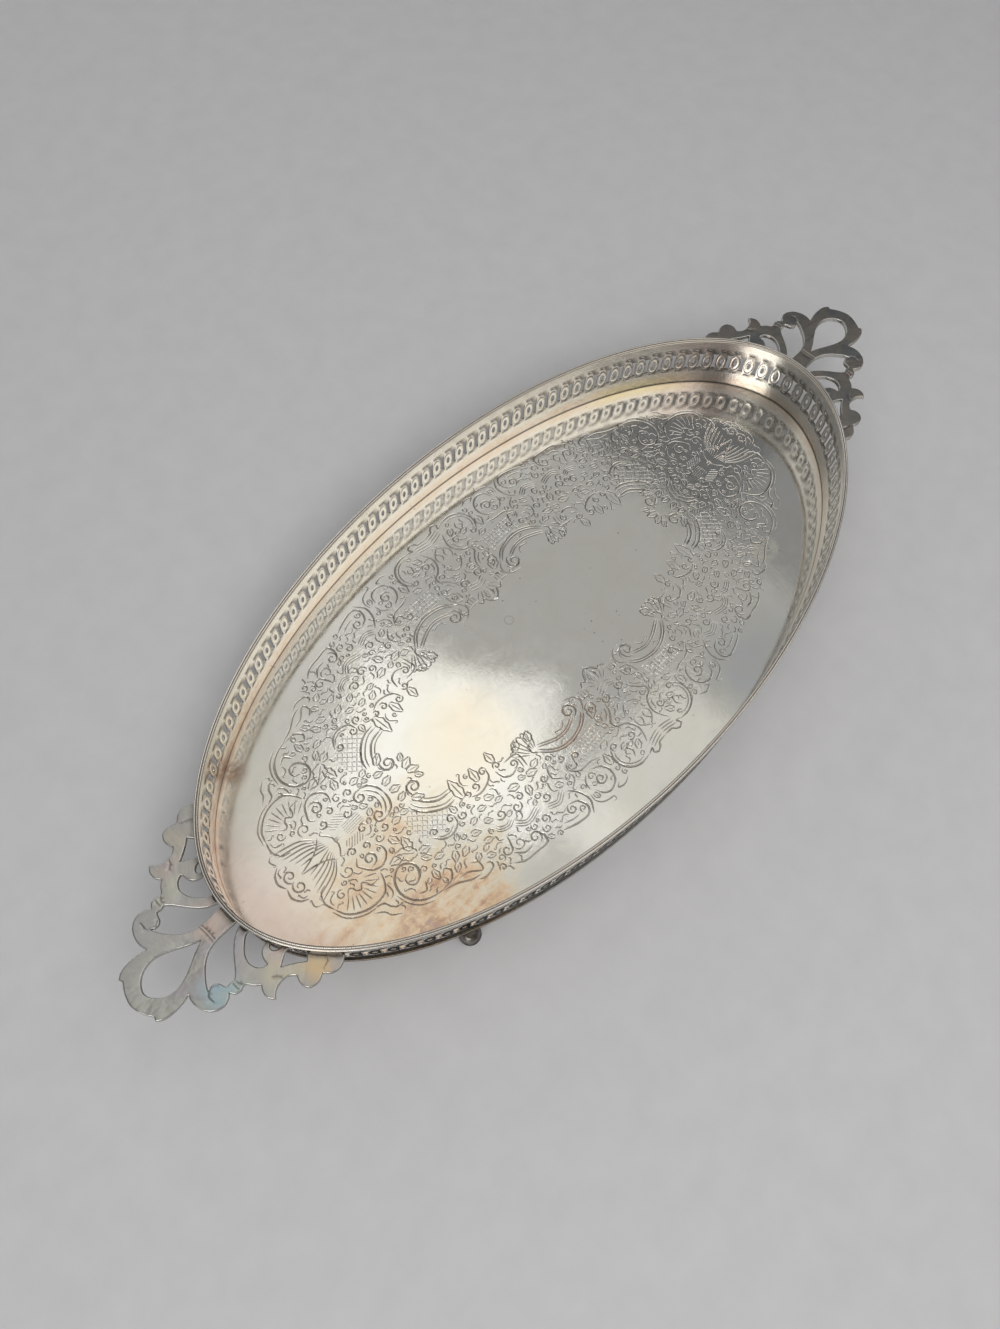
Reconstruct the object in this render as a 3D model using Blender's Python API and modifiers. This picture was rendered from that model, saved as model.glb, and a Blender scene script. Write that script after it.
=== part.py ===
"""Oval dresser vanity tray with a pierced gallery, two openwork handles and ball feet.

Metres, +Z up. The tray stands on z = 0, centred on the origin, its long axis along X.
"""

import math

import bmesh
import bpy
import numpy as np
from mathutils import Matrix

# Plan and heights of the tray.
RIM_HALF_LENGTH = 0.2000
RIM_HALF_WIDTH = 0.1008
FLOOR_TOP = 0.0135
PLATE_THICKNESS = 0.0012
GALLERY_HEIGHT = 0.0331
TOUCH_GAP = 0.0003

# Insets are measured inwards from the rim's outer edge, square to it.
PLATE_INSET = 0.0012
GALLERY_TOP_INSET = 0.0006
GALLERY_FLARE = 0.0010
GALLERY_THICKNESS = 0.0008
RIM_WIRE_RADIUS = 0.0011
BASE_WIRE_RADIUS = 0.0013
BASE_WIRE_INSET = 0.0024
PLATE_SIDES = 128
WIRE_SIDES = 96
WIRE_ROUNDNESS = 2
LENGTH_STEPS = 4000
EDGE_ANGLE = math.radians(30)

# Piercing of the gallery: upright slots with a small lozenge between each two.
PITCHES_PER_STRIP = 62
SLOT_WIDTH = 0.0019
SLOT_HEIGHT = 0.0096
LOZENGE_WIDTH = 0.0017
LOZENGE_HEIGHT = 0.0042
PIERCING_CENTRE = 0.0163
PUNCH_DEPTH = 0.0048

# Handles, cast flat and soldered to the gallery just below the rim wire.
HANDLE_THICKNESS = 0.0024
HANDLE_CENTRE = 0.0283
HANDLE_RISE = math.radians(2.6)
HANDLE_CUTTER_INSET = 0.0004
HANDLE_CUTTER_TOP = 0.0662
CURVE_STEPS = 2
OUTLINE_WELD = 0.00002

# Ball feet.
BALL_RADIUS = 0.0052
FOOT_CUT_ABOVE = 0.0044
FOOT_CUT_BELOW = 0.0047
FOOT_INSET = 0.0014
FOOT_ANGLE = math.radians(48.0)
FOOT_TURNS = 18
FOOT_ARC_POINTS = 9
FOOT_WELD = 0.00001
FOOT_EDGE_ANGLE = math.radians(40)

MM = 0.001

# Half of the handle's outline, in millimetres: outwards from the rim, then sideways.
# The third value is True where the outline has a corner.
HANDLE_EDGE = (
    (48.2, 4.0, False), (46.8, 7.2, False), (45.4, 9.6, True), (46.0, 11.2, True),
    (43.6, 13.0, False), (39.5, 13.8, False), (35.0, 13.6, False), (31.2, 12.8, True),
    (32.0, 16.0, False), (31.5, 20.0, False), (29.2, 24.0, False), (25.0, 26.1, False),
    (21.6, 25.3, False), (19.8, 23.8, True), (18.6, 25.6, False), (16.4, 26.4, False),
    (13.6, 25.8, False), (11.4, 28.6, False), (9.3, 30.4, True), (10.9, 33.4, False),
    (10.7, 36.4, False), (8.9, 38.7, True), (7.2, 36.7, False), (3.8, 35.3, False),
    (-0.4, 35.8, False), (-2.7, 37.9, True), (-1.6, 41.0, False), (-2.6, 44.6, False),
    (-5.4, 46.0, False), (-8.4, 45.7, False), (-10.3, 44.8, True), (-13.4, 47.6, False),
    (-17.4, 48.2, False), (-21.6, 45.9, True), (-24.0, 40.0, True), (-14.0, 12.0, True),
)
TEARDROP = (
    (18.5, 1.9, False), (24.0, 4.9, False), (29.0, 7.1, False), (33.5, 7.8, False),
    (38.0, 6.5, False), (41.4, 3.2, False),
)
TEARDROP_ROOT = (14.2, 0.0, True)
TEARDROP_END = (42.5, 0.0, False)
HANDLE_END = (49.0, 0.0, False)
STEM_GAP = (
    (-3.0, 4.7, True), (1.0, 4.7, False), (6.0, 4.5, False), (10.5, 4.6, False),
    (14.5, 5.6, False), (18.4, 8.0, False), (21.8, 11.8, False), (24.2, 15.4, False),
    (25.0, 17.6, True), (22.6, 16.6, False), (20.4, 17.8, False), (19.4, 20.4, False),
    (18.9, 21.4, True), (17.0, 21.0, False), (15.3, 21.5, True), (13.0, 19.2, False),
    (10.4, 15.6, False), (7.6, 12.0, False), (4.4, 8.9, False), (0.8, 6.9, False),
    (-3.0, 6.0, True),
)
BUD_GAP = (
    (-3.5, 10.9, True), (0.2, 11.3, False), (3.4, 13.8, False), (6.0, 17.2, False),
    (6.9, 20.8, False), (6.0, 24.0, False), (4.3, 25.7, False), (2.4, 26.3, True),
    (2.0, 23.4, False), (0.6, 20.9, False), (-1.6, 19.7, False), (-6.5, 19.0, True),
)
BUD_NOTCH = (
    (-8.0, 20.5, True), (-4.6, 20.8, False), (-2.6, 22.6, False), (-4.2, 24.8, False),
    (-8.5, 25.3, True),
)
WING_GAP = (
    (-0.7, 31.0, True), (-3.6, 32.6, False), (-7.0, 34.9, False), (-9.3, 36.8, True),
    (-12.5, 33.0, True), (-10.5, 27.4, True), (-6.2, 27.8, False), (-3.4, 29.2, False),
)


def clear_scene():
    for obj in list(bpy.data.objects):
        bpy.data.objects.remove(obj, do_unlink=True)


def new_collection(name):
    collection = bpy.data.collections.new(name)
    bpy.context.scene.collection.children.link(collection)
    return collection


def silver(name, colour, roughness):
    """Tarnished silver plate: a plain metallic Principled material."""
    material = bpy.data.materials.new(name)
    material.use_nodes = True
    shader = material.node_tree.nodes["Principled BSDF"]
    shader.inputs["Base Color"].default_value = (*colour, 1.0)
    shader.inputs["Metallic"].default_value = 1.0
    shader.inputs["Roughness"].default_value = roughness
    material.diffuse_color = (*colour, 1.0)
    material.metallic = 1.0
    material.roughness = roughness
    return material


def oval_point(angle, inset):
    """Point at the given ellipse angle, moved inwards from the rim's outer edge."""
    normal_x = math.cos(angle) / RIM_HALF_LENGTH
    normal_y = math.sin(angle) / RIM_HALF_WIDTH
    length = math.hypot(normal_x, normal_y)
    x = RIM_HALF_LENGTH * math.cos(angle) - inset * normal_x / length
    y = RIM_HALF_WIDTH * math.sin(angle) - inset * normal_y / length
    return x, y


def half_oval_lengths(inset):
    """Ellipse angles from 0 to pi, and the length along the oval up to each."""
    angles = np.linspace(0.0, math.pi, LENGTH_STEPS + 1)
    points = np.array([oval_point(angle, inset) for angle in angles])
    runs = np.hypot(*np.diff(points, axis=0).T)
    return angles, np.concatenate([[0.0], np.cumsum(runs)])


def add_object(name, mesh, collection, material=None):
    obj = bpy.data.objects.new(name, mesh)
    collection.objects.link(obj)
    if material:
        mesh.materials.clear()
        mesh.materials.append(material)
    return obj


def evaluated_mesh(obj):
    """The object's mesh with its modifiers or curve bevel applied."""
    bpy.context.view_layer.update()
    graph = bpy.context.evaluated_depsgraph_get()
    return bpy.data.meshes.new_from_object(obj.evaluated_get(graph))


def discard(obj):
    bpy.data.objects.remove(obj, do_unlink=True)


def oval_disc(name, inset, bottom, top):
    """Mesh of a flat-ended oval cylinder between two heights."""
    bm = bmesh.new()
    half_length, _ = oval_point(0.0, inset)
    _, half_width = oval_point(math.pi / 2, inset)
    bmesh.ops.create_cone(
        bm, cap_ends=True, segments=PLATE_SIDES, radius1=1.0, radius2=1.0, depth=1.0
    )
    size = Matrix.Diagonal((half_length, half_width, top - bottom, 1.0))
    place = Matrix.Translation((0.0, 0.0, (top + bottom) / 2))
    bmesh.ops.transform(bm, matrix=place @ size, verts=bm.verts)
    mesh = bpy.data.meshes.new(name)
    bm.to_mesh(mesh)
    bm.free()
    return mesh


def make_plate(collection, material):
    """The flat engraved plate that forms the tray's floor."""
    mesh = oval_disc("tray_plate", PLATE_INSET, FLOOR_TOP - PLATE_THICKNESS, FLOOR_TOP)
    mesh.shade_smooth()
    mesh.set_sharp_from_angle(angle=EDGE_ANGLE)
    return add_object("tray_plate", mesh, collection, material)


def make_wire(name, inset, centre_height, radius, collection, material):
    """A closed oval wire that lies level."""
    curve = bpy.data.curves.new(name, "CURVE")
    curve.dimensions = "3D"
    curve.bevel_depth = radius
    curve.bevel_resolution = WIRE_ROUNDNESS
    curve.use_fill_caps = True
    spline = curve.splines.new("POLY")
    spline.points.add(WIRE_SIDES - 1)
    for index, point in enumerate(spline.points):
        x, y = oval_point(2 * math.pi * index / WIRE_SIDES, inset)
        point.co = (x, y, centre_height, 1.0)
    spline.use_cyclic_u = True
    return add_object(name, curve, collection, material)


def pierced_blank(length, pitch, height, collection):
    """The gallery strip before bending: flat, from x = 0 to length, standing on z = 0."""
    cells = 2 * PITCHES_PER_STRIP + 1
    first = -pitch / 4
    bm = bmesh.new()
    bmesh.ops.create_grid(bm, x_segments=cells, y_segments=1, size=0.5)
    for vert in bm.verts:
        x = first + (vert.co.x + 0.5) * cells * pitch / 2
        x = min(max(x, TOUCH_GAP / 2), length - TOUCH_GAP / 2)
        vert.co = (x, 0.0, (vert.co.y + 0.5) * height)
    mesh = bpy.data.meshes.new("gallery_blank")
    bm.to_mesh(mesh)
    bm.free()
    blank = add_object("gallery_blank", mesh, collection)
    thicken = blank.modifiers.new("sheet", "SOLIDIFY")
    thicken.thickness = GALLERY_THICKNESS
    thicken.offset = 0.0
    punch = add_object("gallery_punch", punch_mesh(pitch), collection)
    pierce = blank.modifiers.new("piercing", "BOOLEAN")
    pierce.operation = "DIFFERENCE"
    pierce.solver = "EXACT"
    pierce.object = punch
    pierced = evaluated_mesh(blank)
    discard(blank)
    discard(punch)
    return pierced


def punch_mesh(pitch):
    """All slots and lozenges of one strip as separate closed blocks in one mesh."""
    bm = bmesh.new()
    for index in range(PITCHES_PER_STRIP):
        slot_place = Matrix.Translation(((index + 0.5) * pitch, 0.0, PIERCING_CENTRE))
        slot_size = Matrix.Diagonal((SLOT_WIDTH, PUNCH_DEPTH, SLOT_HEIGHT, 1.0))
        bmesh.ops.create_cube(bm, size=1.0, matrix=slot_place @ slot_size)
        if index == 0:
            continue
        place = Matrix.Translation((index * pitch, 0.0, PIERCING_CENTRE))
        size = Matrix.Diagonal((LOZENGE_WIDTH / 2, PUNCH_DEPTH, LOZENGE_HEIGHT / 2, 1.0))
        lie = Matrix.Rotation(math.pi / 2, 4, "X")
        bmesh.ops.create_cone(
            bm, cap_ends=True, segments=4, radius1=1.0, radius2=1.0, depth=1.0,
            matrix=place @ size @ lie,
        )
    mesh = bpy.data.meshes.new("gallery_punch")
    bm.to_mesh(mesh)
    bm.free()
    return mesh


def make_gallery(collection, material):
    """Two pierced strips, each bent round half of the oval and leaning outwards."""
    top = GALLERY_HEIGHT - 2 * RIM_WIRE_RADIUS - TOUCH_GAP
    height = top - TOUCH_GAP
    middle_inset = GALLERY_TOP_INSET + (GALLERY_FLARE + GALLERY_THICKNESS) / 2
    angles, lengths = half_oval_lengths(middle_inset)
    pitch = lengths[-1] / PITCHES_PER_STRIP
    mesh = pierced_blank(lengths[-1], pitch, height, collection)
    bm = bmesh.new()
    bm.from_mesh(mesh)
    bmesh.ops.triangulate(bm, faces=bm.faces)
    for vert in bm.verts:
        along, depth, up = vert.co
        flare = GALLERY_FLARE * (1.0 - up / height)
        inset = GALLERY_TOP_INSET + GALLERY_THICKNESS / 2 + flare + depth
        x, y = oval_point(float(np.interp(along, lengths, angles)), inset)
        vert.co = (x, y, FLOOR_TOP + TOUCH_GAP + up)
    bm.to_mesh(mesh)
    bm.free()
    mesh.set_sharp_from_angle(angle=EDGE_ANGLE)
    add_object("gallery_strip_rear", mesh, collection, material)
    front = add_object("gallery_strip_front", mesh, collection, material)
    front.rotation_euler = (0.0, 0.0, math.pi)


def mirrored(points):
    """The same points on the other side, in the reverse order."""
    return tuple((out, -side, corner) for out, side, corner in reversed(points))


def add_loop(curve, points):
    """Adds a closed loop: smooth through the points, sharp at the corners."""
    spline = curve.splines.new("BEZIER")
    spline.bezier_points.add(len(points) - 1)
    for bezier, (out, side, corner) in zip(spline.bezier_points, points):
        bezier.co = (out * MM, side * MM, 0.0)
        handle = "VECTOR" if corner else "AUTO"
        bezier.handle_left_type = handle
        bezier.handle_right_type = handle
    spline.use_cyclic_u = True


def handle_mesh(collection):
    """The flat casting, with its inner ends still running past the gallery."""
    curve = bpy.data.curves.new("handle_outline", "CURVE")
    curve.dimensions = "2D"
    curve.fill_mode = "BOTH"
    curve.extrude = HANDLE_THICKNESS / 2
    curve.resolution_u = CURVE_STEPS
    add_loop(curve, (HANDLE_END, *HANDLE_EDGE, *mirrored(HANDLE_EDGE)))
    add_loop(curve, (TEARDROP_ROOT, *TEARDROP, TEARDROP_END, *mirrored(TEARDROP)))
    for gap in (STEM_GAP, BUD_GAP, BUD_NOTCH, WING_GAP):
        add_loop(curve, gap)
        add_loop(curve, mirrored(gap))
    outline = add_object("handle_outline", curve, collection)
    mesh = evaluated_mesh(outline)
    discard(outline)
    bm = bmesh.new()
    bm.from_mesh(mesh)
    bmesh.ops.remove_doubles(bm, verts=bm.verts, dist=OUTLINE_WELD)
    bmesh.ops.recalc_face_normals(bm, faces=bm.faces)
    bm.to_mesh(mesh)
    bm.free()
    return mesh


def make_handles(collection, cutters, material):
    """Two castings, each trimmed to the curve of the gallery that it is soldered to."""
    cutter = add_object(
        "gallery_cutter",
        oval_disc("gallery_cutter", HANDLE_CUTTER_INSET, FLOOR_TOP, HANDLE_CUTTER_TOP),
        cutters,
    )
    cutter.hide_render = True
    cutter.display_type = "WIRE"
    mesh = handle_mesh(collection)
    centre = Matrix.Translation((RIM_HALF_LENGTH, 0.0, FLOOR_TOP + HANDLE_CENTRE))
    right = centre @ Matrix.Rotation(-HANDLE_RISE, 4, "Y")
    placing = {
        "handle_right": right,
        "handle_left": Matrix.Rotation(math.pi, 4, "Z") @ right,
    }
    for name, matrix in placing.items():
        handle = add_object(name, mesh, collection, material)
        handle.matrix_world = matrix
        trim = handle.modifiers.new("fit_to_gallery", "BOOLEAN")
        trim.operation = "DIFFERENCE"
        trim.solver = "EXACT"
        trim.object = cutter


def foot_mesh(collection):
    """A turned ball with a flat seat on top and a flat pad below."""
    start = math.asin(FOOT_CUT_ABOVE / BALL_RADIUS)
    end = -math.asin(FOOT_CUT_BELOW / BALL_RADIUS)
    top = FOOT_CUT_ABOVE + FOOT_CUT_BELOW
    profile = [(0.0, top)]
    for angle in np.linspace(start, end, FOOT_ARC_POINTS):
        height = FOOT_CUT_BELOW + BALL_RADIUS * math.sin(angle)
        profile.append((BALL_RADIUS * math.cos(angle), height))
    profile.append((0.0, 0.0))
    mesh = bpy.data.meshes.new("foot")
    points = [(radius, 0.0, height) for radius, height in profile]
    edges = [(index, index + 1) for index in range(len(points) - 1)]
    mesh.from_pydata(points, edges, [])
    turned = add_object("foot_profile", mesh, collection)
    screw = turned.modifiers.new("turning", "SCREW")
    screw.steps = FOOT_TURNS
    screw.render_steps = FOOT_TURNS
    screw.use_merge_vertices = True
    screw.merge_threshold = FOOT_WELD
    ball = evaluated_mesh(turned)
    discard(turned)
    ball.shade_smooth()
    ball.set_sharp_from_angle(angle=FOOT_EDGE_ANGLE)
    return ball


def make_feet(collection, material):
    """Four ball feet under the base wire, a mirrored pair at each end."""
    mesh = foot_mesh(collection)
    x, y = oval_point(FOOT_ANGLE, FOOT_INSET)
    corners = {
        "foot_rear_right": (x, y),
        "foot_rear_left": (-x, y),
        "foot_front_left": (-x, -y),
        "foot_front_right": (x, -y),
    }
    for name, (foot_x, foot_y) in corners.items():
        foot = add_object(name, mesh, collection, material)
        foot.location = (foot_x, foot_y, 0.0)


def main():
    clear_scene()
    tray = new_collection("dresser_vanity_tray")
    cutters = new_collection("cutters")
    engraved = silver("engraved_silver", (0.62, 0.58, 0.53), 0.16)
    pierced = silver("gallery_silver", (0.64, 0.59, 0.54), 0.24)
    drawn = silver("wire_silver", (0.60, 0.58, 0.55), 0.20)
    cast = silver("handle_silver", (0.52, 0.50, 0.50), 0.28)
    turned = silver("foot_silver", (0.42, 0.40, 0.38), 0.30)
    make_plate(tray, engraved)
    make_gallery(tray, pierced)
    rim_height = FLOOR_TOP + GALLERY_HEIGHT - RIM_WIRE_RADIUS
    make_wire("rim_wire", RIM_WIRE_RADIUS, rim_height, RIM_WIRE_RADIUS, tray, drawn)
    base_height = FLOOR_TOP - PLATE_THICKNESS - TOUCH_GAP - BASE_WIRE_RADIUS
    make_wire("base_wire", BASE_WIRE_INSET, base_height, BASE_WIRE_RADIUS, tray, drawn)
    make_handles(tray, cutters, cast)
    make_feet(tray, turned)


main()
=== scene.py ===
"""Looks of an oval silver-plated vanity tray: chased floor, pierced gallery, cast handles, ball feet."""

import math
import random

import bpy
import numpy as np
from mathutils import Matrix, Vector, geometry, kdtree


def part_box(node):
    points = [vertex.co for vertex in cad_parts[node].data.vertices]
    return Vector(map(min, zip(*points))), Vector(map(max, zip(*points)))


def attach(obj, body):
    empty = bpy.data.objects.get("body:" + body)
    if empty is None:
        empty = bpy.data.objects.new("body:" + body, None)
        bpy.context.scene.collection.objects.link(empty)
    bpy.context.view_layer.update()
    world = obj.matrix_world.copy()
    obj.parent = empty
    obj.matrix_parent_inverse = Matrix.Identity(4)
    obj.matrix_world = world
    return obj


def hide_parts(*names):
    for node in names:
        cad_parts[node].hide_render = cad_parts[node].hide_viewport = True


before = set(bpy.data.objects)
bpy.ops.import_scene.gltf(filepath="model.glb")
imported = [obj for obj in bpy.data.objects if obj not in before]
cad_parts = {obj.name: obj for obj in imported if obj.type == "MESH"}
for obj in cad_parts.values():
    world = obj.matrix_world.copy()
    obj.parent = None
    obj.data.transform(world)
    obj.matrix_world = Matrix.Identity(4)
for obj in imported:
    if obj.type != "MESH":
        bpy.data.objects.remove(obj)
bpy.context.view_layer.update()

MM = 0.001

# Plan and heights of the tray, in metres.
RIM_HALF_LENGTH = 0.2000
RIM_HALF_WIDTH = 0.1008
FLOOR_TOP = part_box("tray_plate")[1].z
PLATE_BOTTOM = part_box("tray_plate")[0].z
GALLERY_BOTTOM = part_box("gallery_strip_front")[0].z
GALLERY_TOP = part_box("gallery_strip_front")[1].z
RIM_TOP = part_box("rim_wire")[1].z
PLATE_INSET = 0.0012
GALLERY_TOP_INSET = 0.0006
GALLERY_FLARE = 0.0010
GALLERY_THICKNESS = 0.0008
BASE_WIRE_RADIUS = 0.0013
BASE_WIRE_INSET = 0.0024


# ---------------------------------------------------------------- geometry helpers


def oval_points(angles, inset):
    """Points at the given ellipse angles, moved inwards from the rim's outer edge."""
    normal = np.stack([np.cos(angles) / RIM_HALF_LENGTH, np.sin(angles) / RIM_HALF_WIDTH], -1)
    normal /= np.linalg.norm(normal, axis=-1, keepdims=True)
    edge = np.stack([RIM_HALF_LENGTH * np.cos(angles), RIM_HALF_WIDTH * np.sin(angles)], -1)
    return edge - np.asarray(inset)[..., None] * normal


def run_lengths(points):
    """Length along a curve from its start to each of its points."""
    return np.concatenate([[0.0], np.cumsum(np.hypot(*np.diff(points, axis=0).T))])


def even_angles(count, inset):
    """Ellipse angles that split the whole oval into equal lengths."""
    angles = np.linspace(0.0, 2 * math.pi, 8001)
    runs = run_lengths(oval_points(angles, inset))
    return np.interp(np.linspace(0.0, runs[-1], count, endpoint=False), runs, angles)


def add_values(obj, name, values, domain="POINT"):
    """Keeps a number for each vertex or face, for the material to read."""
    attribute = obj.data.attributes.new(name, "FLOAT", domain)
    attribute.data.foreach_set("value", np.asarray(values, np.float32))


def new_object(name, verts, faces, material, node, sharp=30.0):
    """A mesh piece that rides on the tray and stands for a CAD node."""
    mesh = bpy.data.meshes.new(name)
    mesh.from_pydata([tuple(v) for v in verts], [], [tuple(f) for f in faces])
    mesh.validate()
    mesh.update()
    mesh.shade_smooth()
    mesh.set_sharp_from_angle(angle=math.radians(sharp))
    mesh.materials.append(material)
    obj = bpy.data.objects.new(name, mesh)
    bpy.context.scene.collection.objects.link(obj)
    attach(obj, "root")
    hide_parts(node)
    return obj


def smooth_curve(points, step=0.35):
    """Catmull-Rom curve through the points, as an array of closely spaced points."""
    pts = [np.array(p, float) for p in points]
    if len(pts) == 2:
        count = max(2, int(np.linalg.norm(pts[1] - pts[0]) / step) + 1)
        return np.linspace(pts[0], pts[1], count)
    line = [2 * pts[0] - pts[1], *pts, 2 * pts[-1] - pts[-2]]
    out = []
    for a, b, c, d in zip(line, line[1:], line[2:], line[3:]):
        count = max(2, int(np.linalg.norm(c - b) / step) + 1)
        t = np.linspace(0, 1, count, endpoint=False)[:, None]
        bend = (2 * a - 5 * b + 4 * c - d) * t**2 + (3 * b - a - 3 * c + d) * t**3
        out.append(0.5 * (2 * b + (c - a) * t + bend))
    return np.concatenate([*out, pts[-1][None]])


def directions(steps):
    """Unit vectors along the steps of a curve, and square to them on the left."""
    along = steps / np.maximum(np.linalg.norm(steps, axis=1, keepdims=True), 1e-6)
    return along, np.stack([-along[:, 1], along[:, 0]], 1)


def thinned(points, turn=0.30, reach=2.2):
    """Fewer points along a curve: one for each bit of turning or of length."""
    keep = [0]
    turned = run = 0.0
    for i in range(1, len(points) - 1):
        a, b = points[i] - points[i - 1], points[i + 1] - points[i]
        run += float(np.hypot(*a))
        turned += abs(math.atan2(a[0] * b[1] - a[1] * b[0], float(a @ b)))
        if turned > turn or run > reach:
            keep.append(i)
            turned = run = 0.0
    return points[[*keep, len(points) - 1]]


def inside(points, loop):
    """True for each point inside the closed loop."""
    x, y = points[:, 0], points[:, 1]
    result = np.zeros(len(points), bool)
    for (ax, ay), (bx, by) in zip(loop, np.roll(loop, -1, axis=0)):
        crosses = (ay > y) != (by > y)
        with np.errstate(divide="ignore", invalid="ignore"):
            at = ax + (y - ay) * (bx - ax) / (by - ay)
        result ^= crosses & (x < at)
    return result


def oval_outline(width, height, centre, count):
    """Points of an upright oval, with its centre that far above the origin."""
    angles = np.linspace(0, 2 * math.pi, count, endpoint=False)
    return np.stack([0.5 * width * np.cos(angles), centre + 0.5 * height * np.sin(angles)], 1)


class Drawing:
    """Points and lines in the plane, triangulated so that every line is an edge."""

    def __init__(self):
        self.points, self.edges = [], []

    def line(self, points, closed=False):
        start = len(self.points)
        self.dots(points)
        count = len(points)
        self.edges += [(start + i, start + i + 1) for i in range(count - 1)]
        if closed:
            self.edges.append((start + count - 1, start))

    def dots(self, points):
        self.points += [tuple(p) for p in points]

    def triangles(self, epsilon=1e-4):
        """(points, faces), with every face turned up."""
        corners = [Vector(p) for p in self.points]
        found = geometry.delaunay_2d_cdt(corners, self.edges, [], 0, epsilon, False)
        points, faces = np.array([tuple(v) for v in found[0]]), np.array([tuple(f) for f in found[2]])
        a, b, c = (points[faces[:, i]] for i in range(3))
        area = (b[:, 0] - a[:, 0]) * (c[:, 1] - a[:, 1]) - (b[:, 1] - a[:, 1]) * (c[:, 0] - a[:, 0])
        faces[area < 0] = faces[area < 0][:, ::-1]
        return points, faces[np.abs(area) > 1e-9]


def only_used(points, faces):
    """The same faces, without the points that no face uses."""
    used = np.unique(faces)
    moved = np.full(len(points), -1)
    moved[used] = np.arange(len(used))
    return points[used], moved[faces]


def open_edges(faces):
    """The edges that only one triangle has, each in that triangle's direction."""
    edges = {edge: True for a, b, c in faces for edge in ((a, b), (b, c), (c, a))}
    return [(a, b) for a, b in edges if (b, a) not in edges]


def tree_of(points):
    tree = kdtree.KDTree(len(points))
    for index, (x, y) in enumerate(points):
        tree.insert((x, y, 0.0), index)
    tree.balance()
    return tree


# ---------------------------------------------------------------- materials


class Signal:
    """An output of a node graph that can be added, subtracted and multiplied."""

    def __init__(self, graph, socket):
        self.graph, self.socket = graph, socket

    def __add__(self, other):
        return self.graph.math("ADD", self, other)

    def __sub__(self, other):
        return self.graph.math("SUBTRACT", self, other)

    def __rsub__(self, other):
        return self.graph.math("SUBTRACT", other, self)

    def __mul__(self, other):
        return self.graph.math("MULTIPLY", self, other)


class Graph:
    """A node material that is built step by step."""

    def __init__(self, name):
        self.material = bpy.data.materials.new(name)
        self.material.use_nodes = True
        self.shader = self.material.node_tree.nodes["Principled BSDF"]
        self.place = self.node("ShaderNodeTexCoord", {}, "Object")

    def node(self, kind, inputs, output=0, **settings):
        """Adds a node with the given inputs and settings, and returns one of its outputs."""
        node = self.material.node_tree.nodes.new(kind)
        for key, value in settings.items():
            setattr(node, key, value)
        for key, value in inputs.items():
            self.put(node.inputs[key], value)
        return Signal(self, node.outputs[output])

    def put(self, socket, value):
        if isinstance(value, Signal):
            self.material.node_tree.links.new(value.socket, socket)
        elif socket.type == "RGBA":
            socket.default_value = (*value, 1.0)
        else:
            socket.default_value = value

    def math(self, operation, a, b):
        return self.node("ShaderNodeMath", {0: a, 1: b}, operation=operation)

    def blend(self, factor, a, b):
        return self.node("ShaderNodeMix", {"Factor": factor, 6: a, 7: b}, 2, data_type="RGBA")

    def steps(self, value, low, high, to_low=0.0, to_high=1.0):
        """Goes smoothly from one number to another as the value goes from low to high."""
        inputs = {"Value": value, "From Min": low, "From Max": high, "To Min": to_low, "To Max": to_high}
        return self.node("ShaderNodeMapRange", inputs, interpolation_type="SMOOTHSTEP")

    def scaled(self, stretch, turn):
        inputs = {"Vector": self.place, "Rotation": (0.0, 0.0, turn), "Scale": stretch}
        return self.node("ShaderNodeMapping", inputs)

    def noise(self, scale, detail=4.0, rough=0.55, warp=0.0, vector=None):
        inputs = {"Vector": vector or self.place, "Scale": scale, "Detail": detail, "Roughness": rough,
                  "Distortion": warp}
        return self.node("ShaderNodeTexNoise", inputs, "Fac")

    def cells(self, scale):
        return self.node("ShaderNodeTexVoronoi", {"Vector": self.place, "Scale": scale}, "Distance")

    def ramp(self, value, *stops):
        """A colour that follows a value through (value, colour) stops."""
        colour = self.node("ShaderNodeValToRGB", {0: value})
        elements = colour.socket.node.color_ramp.elements
        while len(elements) < len(stops):
            elements.new(0.5)
        for element, (at, shade) in zip(elements, stops):
            element.position = at
            element.color = (*shade, 1.0)
        return colour

    def distance(self, centre, stretch):
        """Distance from a point, in a space that is stretched along its axes."""
        moved = self.node("ShaderNodeVectorMath", {0: self.place, 1: centre}, operation="SUBTRACT")
        sized = self.node("ShaderNodeVectorMath", {0: moved, 1: stretch}, operation="MULTIPLY")
        return self.node("ShaderNodeVectorMath", {0: sized}, "Value", operation="LENGTH")

    def spot(self, x, y, radius, soft, stretch=(1.0, 1.0, 0.0)):
        """1 inside a round patch of the plan, in millimetres, 0 outside."""
        away = self.distance((x * MM, y * MM, 0.0), stretch)
        return self.steps(away, radius * MM, (radius + soft) * MM, 1.0, 0.0)

    def axis(self, name):
        return self.node("ShaderNodeSeparateXYZ", {0: self.place}, name)

    def value(self, name):
        return self.node("ShaderNodeAttribute", {}, "Fac", attribute_name=name)

    def bumps(self, *layers):
        """Chains (height, strength, distance) layers of bump."""
        normal = {}
        for height, strength, distance in layers:
            inputs = {"Height": height, "Strength": strength, "Distance": distance, **normal}
            normal = {"Normal": self.node("ShaderNodeBump", inputs)}
        self.put(self.shader.inputs["Normal"], normal["Normal"])

    def finish(self, colour, roughness, metallic=1.0, flat_gloss=(1.0, 1.0, 1.0)):
        """flat_gloss tints what the metal mirrors at a flat angle: tarnish takes it away, and it also carries
        painted dark reflections.
        """
        for key, value in (("Base Color", colour), ("Roughness", roughness), ("Metallic", metallic),
                           ("Specular Tint", flat_gloss)):
            self.put(self.shader.inputs[key], value)
        return self.material


WHITE = (1.0, 1.0, 1.0)
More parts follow.
